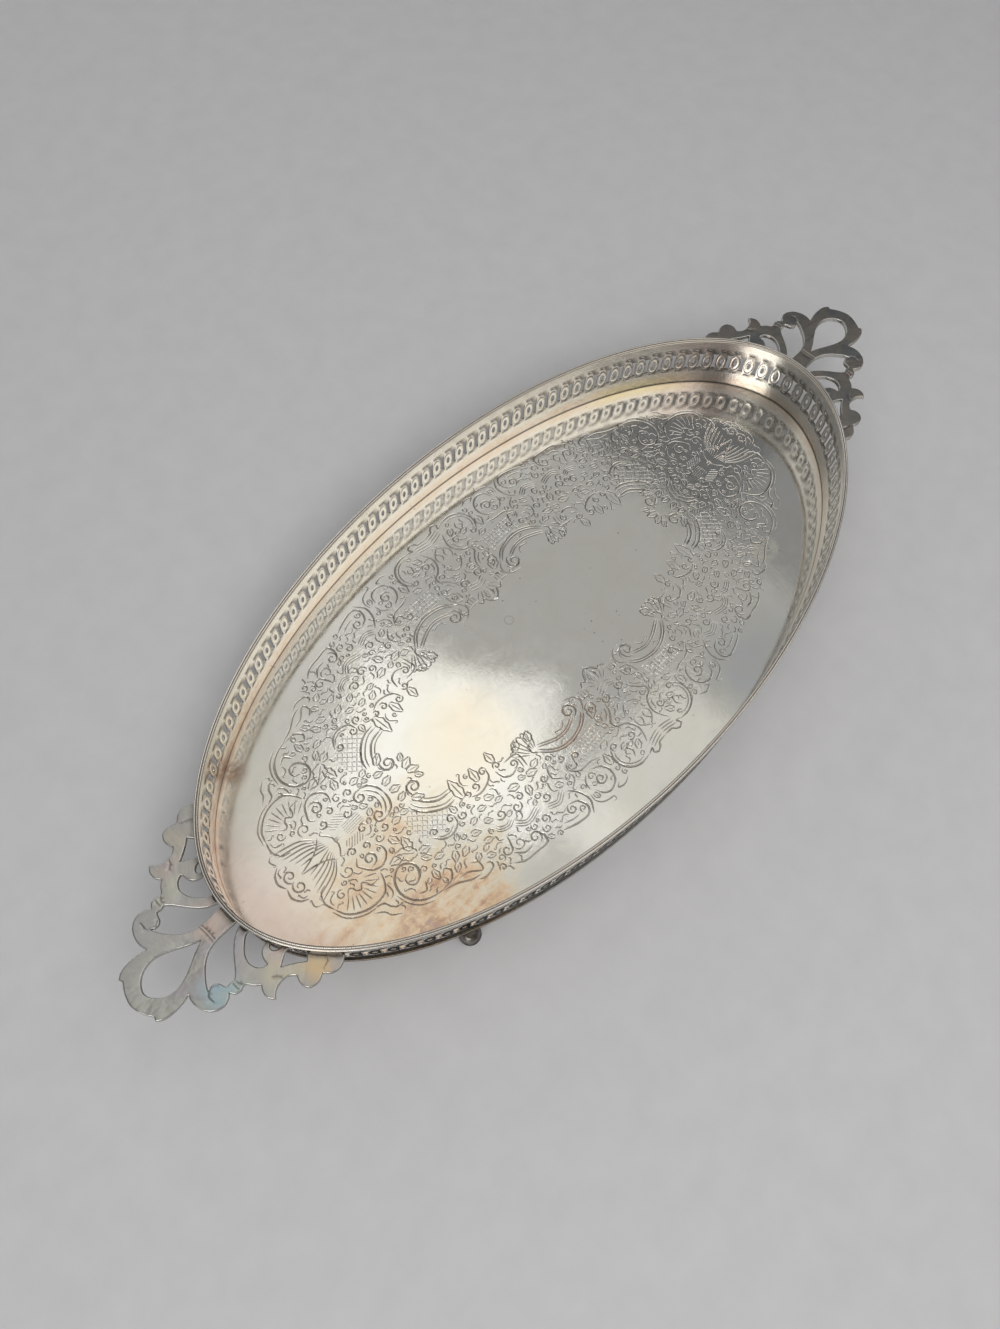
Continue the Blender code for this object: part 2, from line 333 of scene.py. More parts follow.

# Colours of a silver surface as its tarnish thickens. The darkest also serves as painted shade.
CLEAN = (0.86, 0.84, 0.80)
COPPER = (0.72, 0.48, 0.33)
PLUM = (0.46, 0.33, 0.34)
SOOT_AND_SHADE = (0.16, 0.14, 0.12)


def floor_material():
    g = Graph("engraved_silver_look")
    x, y = g.axis("X"), g.axis("Y")
    big = g.noise(14.0, 5.0, 0.6, 0.8)
    small = g.noise(110.0, 6.0, 0.68, 0.6)
    cut = g.value("cut")
    # Copper-brown film at the left end, strongest towards the front edge.
    end = g.steps(x + (big - 0.5) * 0.14, -0.088, -0.150)
    burnt = end * g.steps(y + (big - 0.5) * 0.08, 0.012, -0.030)
    # The film is streaky, wiped roughly along the rim.
    streaks = g.noise(1.0, 5.0, 0.62, 0.35, g.scaled((34.0, 150.0, 1.0), 0.45))
    patches = g.steps(small * 0.45 + streaks * 0.55, 0.40, 0.66)
    film = big * 0.20 + end * 0.13 + burnt * (patches * 0.33 + 0.13)
    film += g.spot(-128, -62, 8, 26, (0.7, 1.3, 0.0)) * (patches * 0.30 + 0.04)
    # Brown stain in the squares of the front lattice, and a straw one in the left lattice.
    film += g.spot(-26, -47, 6, 13, (0.75, 1.1, 0.0)) * (cut + 0.12) * 0.75
    film += g.spot(-70, -12, 10, 34, (0.9, 1.0, 0.0)) * 0.22 + cut * 0.13
    colour = g.ramp(film, (0.0, (0.84, 0.83, 0.80)), (0.20, (0.83, 0.82, 0.77)), (0.36, (0.86, 0.77, 0.62)),
                    (0.56, (0.84, 0.62, 0.42)), (0.76, (0.62, 0.40, 0.27)), (0.95, PLUM))
    # Bluish haze near the front right, and a fogged round mark.
    colour = g.blend(g.spot(58, -84, 4, 34, (0.8, 1.3, 0.0)) * 0.45, colour, (0.52, 0.58, 0.68))
    mark = g.spot(115, -52, 6.5, 3.5, (1.0, 1.25, 0.0)) * g.steps(small, 0.36, 0.56)
    colour = g.blend(mark * 0.4, colour, (0.86, 0.85, 0.68))
    # Faint clouds and wiping marks, a water ring and grime along the crevice.
    colour = g.blend(g.steps(g.noise(32.0, 3.0, 0.5, 1.5), 0.35, 0.70, 0.0, 0.30), colour, (0.78, 0.75, 0.62))
    wiped = g.noise(1.0, 3.0, 0.7, 0.1, g.scaled((30.0, 700.0, 1.0), 0.55))
    colour = g.blend(g.steps(wiped, 0.60, 0.80, 0.0, 0.30), colour, (0.62, 0.61, 0.58))
    water = g.spot(-9, 17, 2.4, 0.5) * (1.0 - g.spot(-9, 17, 1.7, 0.5))
    colour = g.blend(water * 0.30, colour, (0.45, 0.42, 0.34))
    grime = g.spot(-157, 58, 2, 10) * g.steps(small, 0.35, 0.60)
    colour = g.blend(grime * 0.75, colour, (0.32, 0.19, 0.12))
    specks = g.steps(g.cells(210.0), 0.03, 0.13, 1.0, 0.0) * g.steps(g.noise(48.0, 2.0), 0.56, 0.62)
    colour = g.blend(specks * 0.75, colour, (0.25, 0.20, 0.17))
    # The grooves are painted dark along the middle as painted shade, with a painted highlight along both
    # sides.
    bright = g.steps(cut, 0.02, 0.12) * g.steps(cut, 0.30, 0.15)
    colour = g.blend(g.steps(cut, 0.13, 0.55) * 0.64, colour, (0.16, 0.13, 0.11))
    colour = g.blend(bright * 0.75, colour, (0.99, 0.98, 0.95))
    pink = g.steps(x, -0.160, -0.192)
    colour = g.blend(pink * 0.7, colour, (0.66, 0.52, 0.46))
    rough = g.steps(small, 0.35, 0.75) * 0.07 + 0.07 + end * 0.06 + burnt * 0.10 + mark * 0.22
    # Fine wiping marks in three directions.
    marks = [
        g.noise(1.0, 2.0, 0.6, 0.0, g.scaled((along, across, 1.0), turn))
        for turn, along, across in ((0.3, 9.0, 900.0), (1.9, 12.0, 1200.0), (-0.8, 7.0, 700.0))
    ]
    pillows = g.noise(420.0, 1.5, 0.5, 0.8) * g.value("zone")
    g.bumps((marks[0] + marks[1] + marks[2], 0.012, 0.0002), (big, 0.03, 0.003), (small, 0.04, 0.0005),
            (pillows, 0.10, 0.00035))
    return g.finish(colour, rough)


def gallery_material():
    g = Graph("gallery_silver_look")
    height = g.axis("Z") - FLOOR_TOP
    big = g.noise(30.0, 4.0, 0.6, 0.5)
    small = g.noise(240.0, 5.0, 0.6, 0.3)
    low = g.steps(height, 0.011, 0.002)
    left = g.steps(g.axis("X"), -0.06, -0.17)
    film = big * 0.25 + low * 0.30 + left * 0.14 + g.steps(small, 0.42, 0.7) * (left * 0.16 + 0.10)
    colour = g.ramp(film, (0.0, CLEAN), (0.25, (0.88, 0.84, 0.77)), (0.5, (0.86, 0.72, 0.59)),
                    (0.75, COPPER), (1.0, PLUM))
    # Straw glow at the right end, pinkish film further round it, and a rust spot at the wall's foot.
    colour = g.blend(g.spot(150, 60, 14, 26) * low * 0.75, colour, (0.92, 0.80, 0.50))
    colour = g.blend(g.spot(178, 40, 10, 24) * small * 0.7, colour, (0.74, 0.54, 0.50))
    rust = g.spot(-159, 60, 4, 12) * g.steps(height + small * 0.006, 0.011, 0.004)
    colour = g.blend(rust * 0.8, colour, (0.30, 0.17, 0.11))
    colour = g.blend(g.steps(height, 0.0018, 0.0) * 0.8, colour, SOOT_AND_SHADE)
    # The outer face is painted dark and mirrors less, most of all along the front: a painted dark reflection.
    outer = g.value("outer")
    front = g.steps(g.axis("Y"), -0.01, -0.05, 0.84, 0.93)
    colour = g.blend(outer * front, colour, (0.12, 0.11, 0.10))
    # Painted shade in the ring grooves and inside the piercing.
    colour = g.blend(g.value("cut") * 0.80, colour, SOOT_AND_SHADE)
    g.bumps((small, 0.12, 0.0006), (big, 0.05, 0.002))
    return g.finish(colour, small * 0.14 + 0.15, flat_gloss=g.blend(outer, WHITE, (0.15, 0.15, 0.15)))


def wire_material():
    g = Graph("wire_silver_look")
    small = g.noise(400.0)
    cut = g.value("cut")
    film = g.noise(40.0) * 0.5 + small * 0.2
    colour = g.ramp(film, (0.0, CLEAN), (0.4, (0.83, 0.79, 0.72)), (0.75, (0.78, 0.66, 0.53)), (1.0, COPPER))
    # Darker where cut is high: the rim wire's dark channel, and the whole base wire as a painted dark
    # reflection.
    colour = g.blend(cut * 0.85, colour, (0.20, 0.14, 0.10))
    g.bumps((small, 0.15, 0.0003))
    return g.finish(colour, small * 0.12 + 0.14, flat_gloss=g.blend(cut, WHITE, (0.25, 0.25, 0.25)))


# Heat colours of the near handle: place, radius and soft edge in millimetres, share and colour.
HEAT_PATCHES = (
    (-206, 3, 3, 9, 0.50, (0.72, 0.50, 0.42)), (-214, 12, 2, 8, 0.35, (0.66, 0.52, 0.54)),
    (-222, -20, 3, 9, 0.50, (0.36, 0.60, 0.70)), (-217, -29, 1, 8, 0.40, (0.46, 0.64, 0.58)),
    (-200, -33, 3, 8, 0.50, (0.70, 0.62, 0.40)), (-189, -42, 2, 8, 0.60, (0.80, 0.56, 0.26)),
    (-195, -27, 2, 6, 0.45, (0.68, 0.44, 0.42)), (-228, 20, 3, 8, 0.35, (0.56, 0.58, 0.66)),
    (-211, 28, 3, 8, 0.45, (0.62, 0.64, 0.50)), (-196, 38, 3, 8, 0.45, (0.70, 0.60, 0.46)),
    (-205, 33, 1, 6, 0.45, (0.68, 0.50, 0.50)), (-242, -8, 3, 9, 0.35, (0.58, 0.64, 0.56)),
)


def handle_material():
    g = Graph("handle_silver_look")
    big = g.noise(26.0, 4.0, 0.6, 1.0)
    small = g.noise(300.0, 5.0, 0.6, 0.3)
    colour = g.ramp(big * 0.80 + 0.10, (0.0, CLEAN), (0.35, (0.52, 0.52, 0.49)), (0.5, (0.46, 0.45, 0.42)),
                    (0.62, (0.44, 0.42, 0.43)), (0.8, (0.38, 0.41, 0.43)), (1.0, (0.40, 0.36, 0.36)))
    mixed = g.steps(g.noise(70.0, 3.0, 0.6, 1.0) + small, 0.70, 1.20, 0.25, 1.0)
    for x, y, radius, soft, share, tint in HEAT_PATCHES:
        colour = g.blend(g.spot(x, y, radius, soft) * mixed * share, colour, tint)
    # The far handle is painted darker: painted shade on the far copy of the same casting.
    far_handle_shade = g.steps(g.axis("X"), 0.15, 0.19)
    dusk = g.ramp(g.noise(60.0, 4.0, 0.6, 1.2), (0.35, (0.27, 0.28, 0.29)), (0.5, (0.36, 0.34, 0.30)),
                  (0.65, (0.42, 0.35, 0.31)))
    colour = g.blend(far_handle_shade * 0.80, colour, dusk)
    colour = g.blend(g.value("cut") * 0.4, colour, SOOT_AND_SHADE)
    # Painted shadow where the castings meet the wall under the rim, and a brighter edge, partly rubbed and
    # partly a painted highlight.
    out = g.distance((0.0, 0.0, 0.0), (1.0 / RIM_HALF_LENGTH, 1.0 / RIM_HALF_WIDTH, 0.0))
    colour = g.blend(g.steps(out, 1.020, 1.002, 0.0, 0.75), colour, SOOT_AND_SHADE)
    colour = g.blend(g.value("edge") * 0.70, colour, (0.92, 0.90, 0.85))
    g.bumps((small, 0.035, 0.0005), (big, 0.30, 0.003))
    return g.finish(colour, small * 0.14 + 0.22, flat_gloss=(0.25, 0.25, 0.25))


def foot_material():
    g = Graph("foot_silver_look")
    small = g.noise(350.0, 5.0)
    # The feet are painted dark and mirror little: painted shade, as they stand under the tray.
    colour = g.ramp(small, (0.3, (0.16, 0.14, 0.13)), (0.7, (0.40, 0.37, 0.34)))
    g.bumps((small, 0.2, 0.0003))
    return g.finish(colour, small * 0.2 + 0.22, flat_gloss=(0.3, 0.3, 0.3))


# ---------------------------------------------------------------- ornament of the floor

# The chased ornament, in millimetres. It sits a little off the oval's centre and is turned a little.
ORNAMENT_SHIFT = (-3.6, 0.8)
ORNAMENT_TURN = math.radians(1.0)
ORNAMENT_HALF_LENGTH = 186.0
ORNAMENT_HALF_WIDTH = 90.0
GROOVE_SLOPE = 0.74
GROOVE_MARGIN = 0.02
GROOVE_REACH = 0.62
LEAST_DEPTH = 0.04
FULL_DEPTH = 0.42
STROKE_SCALE = 1.34
AXIS_MARGIN = 0.05


class Ornament:
    """Strokes of one quadrant: each is a curve with a half width at every point."""

    def __init__(self):
        self.strokes = []
        self.samples = np.zeros((0, 2))

    def stroke(self, points, half=0.36, taper=0.25, raw=False):
        """A groove through the points, or along them as they are if they are raw."""
        curve = np.array(points, float) if raw else smooth_curve(points)
        runs = run_lengths(curve)
        if runs[-1] < 0.5:
            return
        share = runs / runs[-1]
        width = np.full(len(curve), half)
        if taper:
            ends = np.minimum(share, 1 - share) / taper
            width = half * (0.35 + 0.65 * np.clip(ends, 0, 1) ** 0.6)
        self.strokes.append((curve, width * STROKE_SCALE))
        self.samples = np.concatenate([self.samples, curve])

    def strokes_of(self, half, *lines):
        for points in lines:
            self.stroke(points, half)

    def spiral(self, x, y, r, start=0.0, turns=1.3, half=0.34, tail=None):
        """A volute that winds in from radius r; turns < 0 winds clockwise."""
        t = np.linspace(0, 1, max(12, int(abs(turns) * 26)))
        radius = r * (1 - 0.80 * t ** 0.85)
        angle = math.radians(start) + 2 * math.pi * turns * t
        curve = np.stack([x + radius * np.cos(angle), y + radius * np.sin(angle)], 1)
        if tail is not None:
            lead = smooth_curve([*tail, tuple(curve[0]), tuple(curve[3])])
            near = np.argmin(np.hypot(*(lead - curve[0]).T))
            curve = np.concatenate([lead[:near], curve])
        self.stroke(curve, half, 0.2, raw=True)

    def spirals(self, *rows):
        for row in rows:
            self.spiral(*row)

    def band(self, points, offsets, half=0.30):
        """Parallel lines beside a curve."""
        curve = smooth_curve(points)
        _, side = directions(np.gradient(curve, axis=0))
        for offset in offsets:
            self.stroke(curve + offset * side, half, 0.12, raw=True)

    def leaf(self, base, tip, bulge=0.30, lobes=2, half=0.28):
        """An acanthus leaf: two lobed edges and a central vein."""
        base, tip = np.array(base, float), np.array(tip, float)
        along = tip - base
        side = np.array([-along[1], along[0]])
        t = np.linspace(0, 1, max(14, int(np.hypot(*along) * 3)))
        spread = bulge * np.sin(math.pi * t ** 0.75) ** 0.8
        spread *= 0.78 + 0.22 * np.abs(np.cos(lobes * math.pi * t))
        for sign in (1, -1):
            self.stroke(base + t[:, None] * along + (sign * spread)[:, None] * side, half, 0.1, raw=True)
        self.stroke([base, base + 0.8 * along], half * 0.8)

    def leaves(self, *rows):
        for row in rows:
            self.leaf(*row)

    def flutes(self, x, y, inner, outer, start, end, count, half=0.24):
        """Short flutes that radiate from a point."""
        for angle in np.radians(np.linspace(start, end, count)):
            d = np.array([math.cos(angle), math.sin(angle)])
            self.stroke([np.array([x, y]) + inner * d, np.array([x, y]) + outer * d], half)

    def scalloped_fan(self, x, y, inner, outer, start, end, count, half=0.24):
        """Flutes with a scalloped edge round them."""
        self.flutes(x, y, inner, outer, start, end, count, half)
        first, last = math.radians(start), math.radians(end)
        t = np.linspace(first, last, count * 7)
        wave = np.abs(np.sin((t - first) / (last - first) * math.pi * (count - 1)))
        radius = outer * (1.02 + 0.12 * wave)
        self.stroke(np.stack([x + radius * np.cos(t), y + radius * np.sin(t)], 1), half * 1.1, 0.1, raw=True)

    def hatch(self, corners, pitch, *turns):
        """Thin lines in the given directions, clipped to a polygon."""
        loop = np.array(corners, float)
        centre = loop.mean(0)
        reach = np.max(np.hypot(*(loop - centre).T))
        t = np.arange(-reach, reach, 0.25)[:, None]
        for turn in turns:
            along = np.array([math.cos(turn), math.sin(turn)])
            across = np.array([-along[1], along[0]])
            for k in range(int(-reach / pitch) - 1, int(reach / pitch) + 2):
                points = centre + across * (k * pitch) + t * along
                span = points[inside(points, loop)]
                if len(span) > 4:
                    self.stroke([span[0], span[-1]], 0.16, 0)

    def room(self, x, y):
        """Distance from a point to the nearest stroke."""
        return float(np.min(np.hypot(self.samples[:, 0] - x, self.samples[:, 1] - y)))


def end_ornament(o):
    """The rich part at the tray's end."""
    # The shell on the axis and the leaves beyond it.
    for k in range(6):
        y0, y1 = 1.6 + 2.6 * k, 0.4 + 1.1 * k
        o.stroke([(160.8 + 1.2 * k, y0 + 1.4), (154.0, y0 * 0.75 + 0.8), (146.8 + 0.2 * k, y1)], 0.28)
    o.flutes(151.0, 18.0, 6.5, 13.0, 40, 150, 9)
    o.strokes_of(
        0.36,
        [(172.2, 0.4), (173.4, 4.4), (171.6, 8.4), (168.6, 10.2)],
        [(163.0, 0.3), (158.5, 1.2), (152.0, 3.2), (147.4, 6.8)],
        [(164.2, 21.8), (165.4, 17.0), (163.6, 12.6), (159.8, 11.0)],
        [(151.5, 34.5), (147.6, 36.2), (146.5, 39.1), (144.4, 41.4), (141.0, 41.8)],
        [(134.2, 44.5), (131.0, 45.9), (128.3, 42.7)],
        [(125.5, 51.8), (119.2, 54.1), (113.8, 57.7), (109.2, 59.1)],
        [(125.5, 51.0), (120.1, 50.9), (117.0, 47.7), (118.6, 45.2), (121.0, 46.4)],
        [(111.5, 60.0), (108.3, 61.6), (103.3, 60.9), (102.2, 58.6), (104.0, 57.4)],
        [(92.0, 63.6), (88.3, 67.3), (83.8, 67.7)],
        [(112.0, 31.4), (109.2, 35.5), (104.7, 37.3), (99.2, 35.5), (97.9, 31.8)],
        [(85.6, 31.8), (82.0, 33.6), (77.4, 33.2), (72.9, 30.9), (71.5, 27.3)],
        [(69.2, 31.8), (68.3, 36.4), (64.7, 38.6), (60.6, 37.7)],
        [(141.6, 12.8), (144.0, 15.4), (142.9, 18.2), (140.1, 22.3), (135.6, 23.6), (131.0, 20.9),
         (130.1, 17.3), (131.4, 14.2)],
    )
    # The large scroll, then the outer one, the fluted band and the upright scroll across the axis.
    o.stroke([(164.2, 21.8), (162.0, 27.3), (156.5, 31.8), (150.1, 33.6), (143.8, 32.7), (140.1, 28.2),
              (139.2, 25.3)], 0.42)
    o.stroke([(125.5, 51.4), (131.0, 50.0), (135.6, 47.3), (138.8, 42.7), (139.7, 37.3), (137.0, 31.8),
              (132.0, 29.5), (127.4, 31.8), (126.3, 35.5), (128.3, 39.1), (132.0, 40.5), (134.2, 38.2),
              (133.8, 35.5), (131.6, 34.6)], 0.44)
    o.strokes_of(
        0.40,
        [(95.5, 66.8), (91.0, 70.0), (84.7, 71.1), (78.3, 71.8), (76.5, 68.2), (77.9, 64.5), (81.0, 63.2)],
        [(108.8, 13.6), (107.4, 18.2), (102.9, 23.2), (97.4, 26.4), (92.0, 26.8)],
        [(104.7, 12.7), (102.0, 17.3), (97.4, 21.4), (90.1, 22.7)],
        [(118.4, 9.4), (114.2, 7.6), (112.0, 4.0), (111.4, 0.0)],
    )
    o.strokes_of(
        0.28,
        [(165.6, 22.0), (163.4, 28.3), (157.3, 33.3), (150.1, 35.2)],
        [(153.6, 36.2), (150.2, 38.8), (149.0, 42.0), (145.4, 45.0)],
        [(141.6, 38.0), (140.6, 43.4), (137.2, 48.6), (131.8, 51.8)],
        [(117.8, 7.6), (115.6, 5.6), (114.1, 3.0), (113.5, 0.0)],
    )
    o.stroke([(156.5, 22.3), (154.3, 20.2), (152.4, 20.9), (151.8, 23.0), (150.1, 24.1), (148.2, 22.4),
              (146.5, 23.6), (145.6, 26.2), (142.6, 26.4), (141.0, 25.9)], 0.32)
    o.stroke([(117.6, 53.0), (112.4, 54.2), (107.4, 58.2), (106.0, 54.5), (109.0, 52.0)], 0.30)
    o.stroke([(110.4, 32.6), (107.8, 35.0), (104.4, 35.7), (100.9, 34.3)], 0.26)
    o.stroke([(117.6, 5.0), (116.4, 2.6), (115.8, 0.0)], 0.34)
    o.band([(90.1, 50.0), (88.8, 52.7), (84.6, 54.6), (81.0, 53.6)], (0, 1.1, 2.2), 0.24)
    o.band([(80.6, 54.1), (76.5, 57.7), (69.2, 56.4)], (0, -1.2, -2.4), 0.24)
    o.band([(107.2, 13.2), (105.6, 17.4), (101.4, 21.8), (96.4, 24.8), (91.4, 25.2)], (0,), 0.26)
    o.band([(103.2, 12.4), (100.5, 16.4), (96.2, 20.0), (90.1, 21.3)], (0,), 0.24)
    o.spirals(
        (167.4, 3.2, 3.6, -90), (100.1, 64.4, 2.0, 0, -1.2), (80.0, 66.0, 3.4, 90), (82.9, 47.3, 2.8),
        (93.3, 60.5, 2.9, 180, -1.3, 0.34, [(88.6, 56.0), (89.4, 58.6)]), (75.1, 50.5, 2.8, 200, -1.3),
        (109.6, 30.4, 2.2, 0, -1.2), (99.9, 31.6, 2.2, 180, 1.2), (94.7, 34.5, 2.4, -60, 1.2),
        (86.0, 29.6, 1.7, 60, 1.1), (81.0, 29.8, 2.2, 60, 1.2), (73.2, 27.2, 2.2, 180, 1.2),
        (60.4, 35.3, 2.3, 60), (66.5, 30.0, 2.1, 0, -1.2), (100.1, 8.4, 4.2, 60, -1.5, 0.40),
        (100.1, 8.4, 5.6, 40, -0.55, 0.26), (120.6, 6.2, 3.5, 130, -1.35, 0.38),
        (137.9, 17.3, 3.6, 60, 1.4, 0.38), (122.9, 11.8, 2.2, 0, 1.2), (130.1, 5.0, 2.4, 180, 1.2),
        (141.0, 9.4, 2.4, 0, -1.2), (134.7, 11.8, 2.0, 90, 1.2),
    )
    o.leaves(
        ((88.3, 29.6), (87.4, 17.6), 0.22, 3), ((78.0, 29.0), (76.5, 21.0), 0.26),
        ((66.2, 28.0), (66.0, 21.2)),
        ((121.5, 31.2), (129.2, 24.2), 0.34, 3), ((120.6, 31.6), (115.2, 33.6), 0.34),
        ((122.6, 28.4), (121.0, 20.6), 0.30, 3), ((127.0, 27.4), (134.2, 26.0), 0.28),
    )
    o.hatch([(97.0, 28.5), (104.0, 22.5), (108.6, 15.0), (115.5, 17.0), (115.0, 29.5), (106.0, 33.0)],
            2.3, math.pi / 4, 3 * math.pi / 4)
    o.hatch([(131.5, 4.6), (140.5, 3.4), (141.0, 7.6), (132.0, 9.2)], 1.2, 0.8)
    o.hatch([(126.5, 0.4), (136.5, 0.4), (136.0, 2.8), (127.0, 3.0)], 1.1, 0.0)
    for x, y, dx, dy in ((104.0, 46.0, 5.0, 2.0), (109.4, 43.0, 3.6, 4.4), (113.6, 40.0, 5.0, -1.2),
                         (99.0, 43.4, -4.6, 2.6), (118.6, 37.4, 3.6, -3.6), (105.4, 41.0, -2.2, -3.4),
                         (97.6, 50.4, -4.8, 1.6), (102.6, 51.6, 3.6, 3.0), (122.6, 41.6, 0.6, 5.6),
                         (112.2, 47.6, 3.8, 3.4), (95.6, 40.6, -4.6, -0.8), (90.6, 43.6, -4.0, 2.8),
                         (88.6, 38.2, -4.6, 1.4), (101.4, 55.4, -4.0, 2.8), (80.0, 41.6, -4.4, 0.4)):
        o.leaf((x, y), (x + dx, y + dy), half=0.26)
    # Pointed leaves round the plain centre, near the axis.
    o.leaves(((97.0, 1.0), (91.0, 3.2)), ((95.6, 4.6), (92.4, 8.0)), ((105.0, 11.6), (99.6, 15.2)),
             ((109.4, 2.2), (103.6, 3.4)), ((109.6, 8.4), (104.6, 7.0)))


def side_ornament(o):
    """The lighter part along the tray's long sides."""
    # Short lines across the axis and the comb beside it.
    o.stroke([(0.0, 28.2), (2.6, 30.2), (4.6, 33.2), (6.6, 32.4), (8.8, 34.4)], 0.40, 0.1)
    for y in (39.6, 41.4, 43.0):
        o.stroke([(0.0, y), (2.6, y + 0.4), (5.2, y + 1.6)], 0.26)
    for y in (74.6, 76.2, 77.8):
        o.stroke([(0.0, y), (4.0, y + 0.5), (8.6, y + 1.8)], 0.26)
    for k in range(4):
        o.stroke([(8.2 + 1.7 * k, 35.4), (8.4 + 1.7 * k, 38.8)], 0.26)
    o.flutes(0.0, 41.5, 4.0, 9.4, -90, -42, 4)
    o.scalloped_fan(49.0, 41.0, 4.0, 11.5, -118, -40, 7, 0.26)
    # The large scrolls.
    o.stroke([(13.0, 80.0), (18.4, 80.2), (23.6, 77.8), (26.4, 73.4), (26.4, 68.6), (23.6, 64.4)], 0.42)
    o.stroke([(43.8, 72.0), (42.4, 76.0), (38.2, 77.8), (33.6, 75.6), (31.8, 70.8), (33.6, 66.4),
              (37.4, 64.2)], 0.38)
    o.stroke([(68.6, 73.6), (62.0, 76.2), (55.6, 77.4), (52.4, 74.4), (53.8, 69.4), (57.8, 67.4)], 0.40)
    o.strokes_of(
        0.36,
        [(7.6, 47.4), (8.2, 50.6), (10.6, 54.0), (13.2, 56.4), (12.6, 59.6), (9.6, 60.8), (7.2, 63.4),
         (5.8, 67.2), (6.8, 71.4), (8.6, 75.0)],
        [(0.0, 79.6), (4.6, 79.8), (6.2, 81.4), (8.4, 82.4), (10.4, 81.0), (9.6, 79.0), (12.6, 80.0)],
        [(48.0, 40.4), (50.2, 38.0), (49.2, 34.8), (46.4, 34.2)],
        [(53.0, 78.6), (49.4, 73.4), (50.2, 67.2), (53.6, 62.4)],
    )
    # The finer lines inside and between them.
    o.stroke([(46.0, 56.4), (41.6, 60.8), (35.0, 61.6), (30.4, 63.2)], 0.34)
    o.stroke([(56.6, 40.6), (55.4, 34.4), (57.2, 32.4), (63.0, 31.8)], 0.34)
    o.stroke([(50.0, 57.4), (53.4, 53.4), (52.0, 49.2), (48.8, 48.2)], 0.32)
    o.stroke([(18.4, 75.6), (16.8, 72.8), (18.2, 70.0), (20.2, 71.6), (18.8, 73.4)], 0.30)
    o.stroke([(28.4, 79.2), (32.0, 80.6), (35.6, 79.4), (33.2, 77.8)], 0.30)
    o.stroke([(58.4, 40.2), (57.4, 35.4), (59.2, 33.8)], 0.24)
    o.strokes_of(
        0.28,
        [(0.0, 30.6), (1.8, 32.4), (2.8, 35.4)],
        [(17.6, 42.6), (14.6, 39.0), (14.6, 35.4), (17.4, 32.8), (21.6, 32.2)],
        [(45.6, 70.4), (44.6, 66.6), (41.4, 64.0)],
    )
    o.strokes_of(
        0.26,
        [(9.4, 48.6), (11.0, 51.8), (14.2, 54.2)],
        [(14.0, 78.6), (18.4, 78.6), (22.6, 76.4), (24.8, 72.8), (24.8, 69.0), (22.8, 66.0)],
        [(7.4, 39.2), (14.0, 38.6)],
        [(7.6, 35.0), (13.8, 34.6)],
        [(66.4, 71.6), (61.0, 73.8), (57.2, 74.0)],
    )
    o.band([(17.6, 42.6), (22.6, 46.6), (30.0, 48.6), (37.0, 48.2), (43.6, 45.0), (48.0, 40.4)],
           (0, -1.3), 0.36)
    o.band([(23.0, 41.0), (30.0, 43.4), (37.0, 42.8), (46.4, 38.4)], (0, -1.2), 0.32)
    o.band([(66.0, 62.0), (60.0, 64.4), (55.0, 62.0)], (0, 1.2, 2.4), 0.24)
    o.spirals(
        (5.2, 46.4, 2.7, -120, -1.4, 0.38), (9.8, 57.4, 1.9, 0, 1.2, 0.30), (21.6, 65.2, 2.2, 60, -1.2),
        (11.4, 67.4, 2.4), (22.6, 37.2, 4.3, 90, 1.5, 0.40), (22.6, 37.2, 5.8, 150, 0.55, 0.26),
        (14.0, 44.8, 1.9, 90, -1.2), (38.0, 70.4, 3.2, 180, -1.4, 0.38), (43.4, 50.2, 2.0, 0, 1.2),
        (37.4, 54.4, 2.0, -30, -1.2, 0.34, [(45.0, 57.0), (41.0, 58.2)]), (47.6, 45.6, 1.7, 90, 1.2),
        (58.4, 70.0, 2.7, -90), (62.4, 57.4, 2.4), (56.4, 50.6, 2.2, 180, -1.3), (70.4, 63.8, 2.4, 90),
        (70.6, 47.8, 2.2, 270, -1.3),
    )
    o.leaves(
        ((14.0, 74.6), (10.6, 70.6), 0.32), ((16.0, 67.8), (20.6, 69.4)),
        ((12.0, 41.4), (17.4, 48.8), 0.3, 3),
        ((28.6, 70.2), (28.0, 63.4)), ((46.8, 33.6), (44.4, 28.4), 0.36), ((55.0, 31.8), (50.8, 27.6), 0.34),
        ((66.4, 44.0), (72.4, 42.0)), ((64.0, 46.8), (66.6, 52.0)), ((60.6, 43.6), (54.6, 45.4)),
    )
    o.hatch([(19.5, 47.8), (24.0, 50.2), (32.0, 50.6), (40.0, 48.8), (41.0, 57.6), (36.0, 59.2),
             (20.5, 58.2)], 2.0, 0.03, 0.03 + math.pi / 2)


# Edge of the plain centre of the floor and outer edge of the ornament, in millimetres.
PLAIN_EDGE = ((0, 30), (8, 36), (15, 33), (22, 31), (29, 38), (38, 41), (46, 31), (52, 28), (60, 31),
              (68, 23), (76, 24), (87, 19), (92, 23), (99, 16), (95, 9), (99, 3), (110, 0))
OUTER_EDGE = ((0, 79.5), (12, 81), (26, 79), (40, 78.5), (56, 77), (70, 74), (84, 71.5), (98, 67), (112, 60),
              (126, 52.5), (140, 47), (148, 42), (155, 35), (164, 27), (168.5, 16), (173, 6), (174, 0))
ORNAMENT_ZONE = np.array([*OUTER_EDGE, *reversed(PLAIN_EDGE)], float)

# An S-shaped sprig of length 2, along and across its direction.
SPRIG = ((-1.0, -0.35), (-0.62, 0.10), (-0.1, 0.22), (0.42, 0.0), (0.82, -0.30), (1.0, -0.05), (0.80, 0.12))


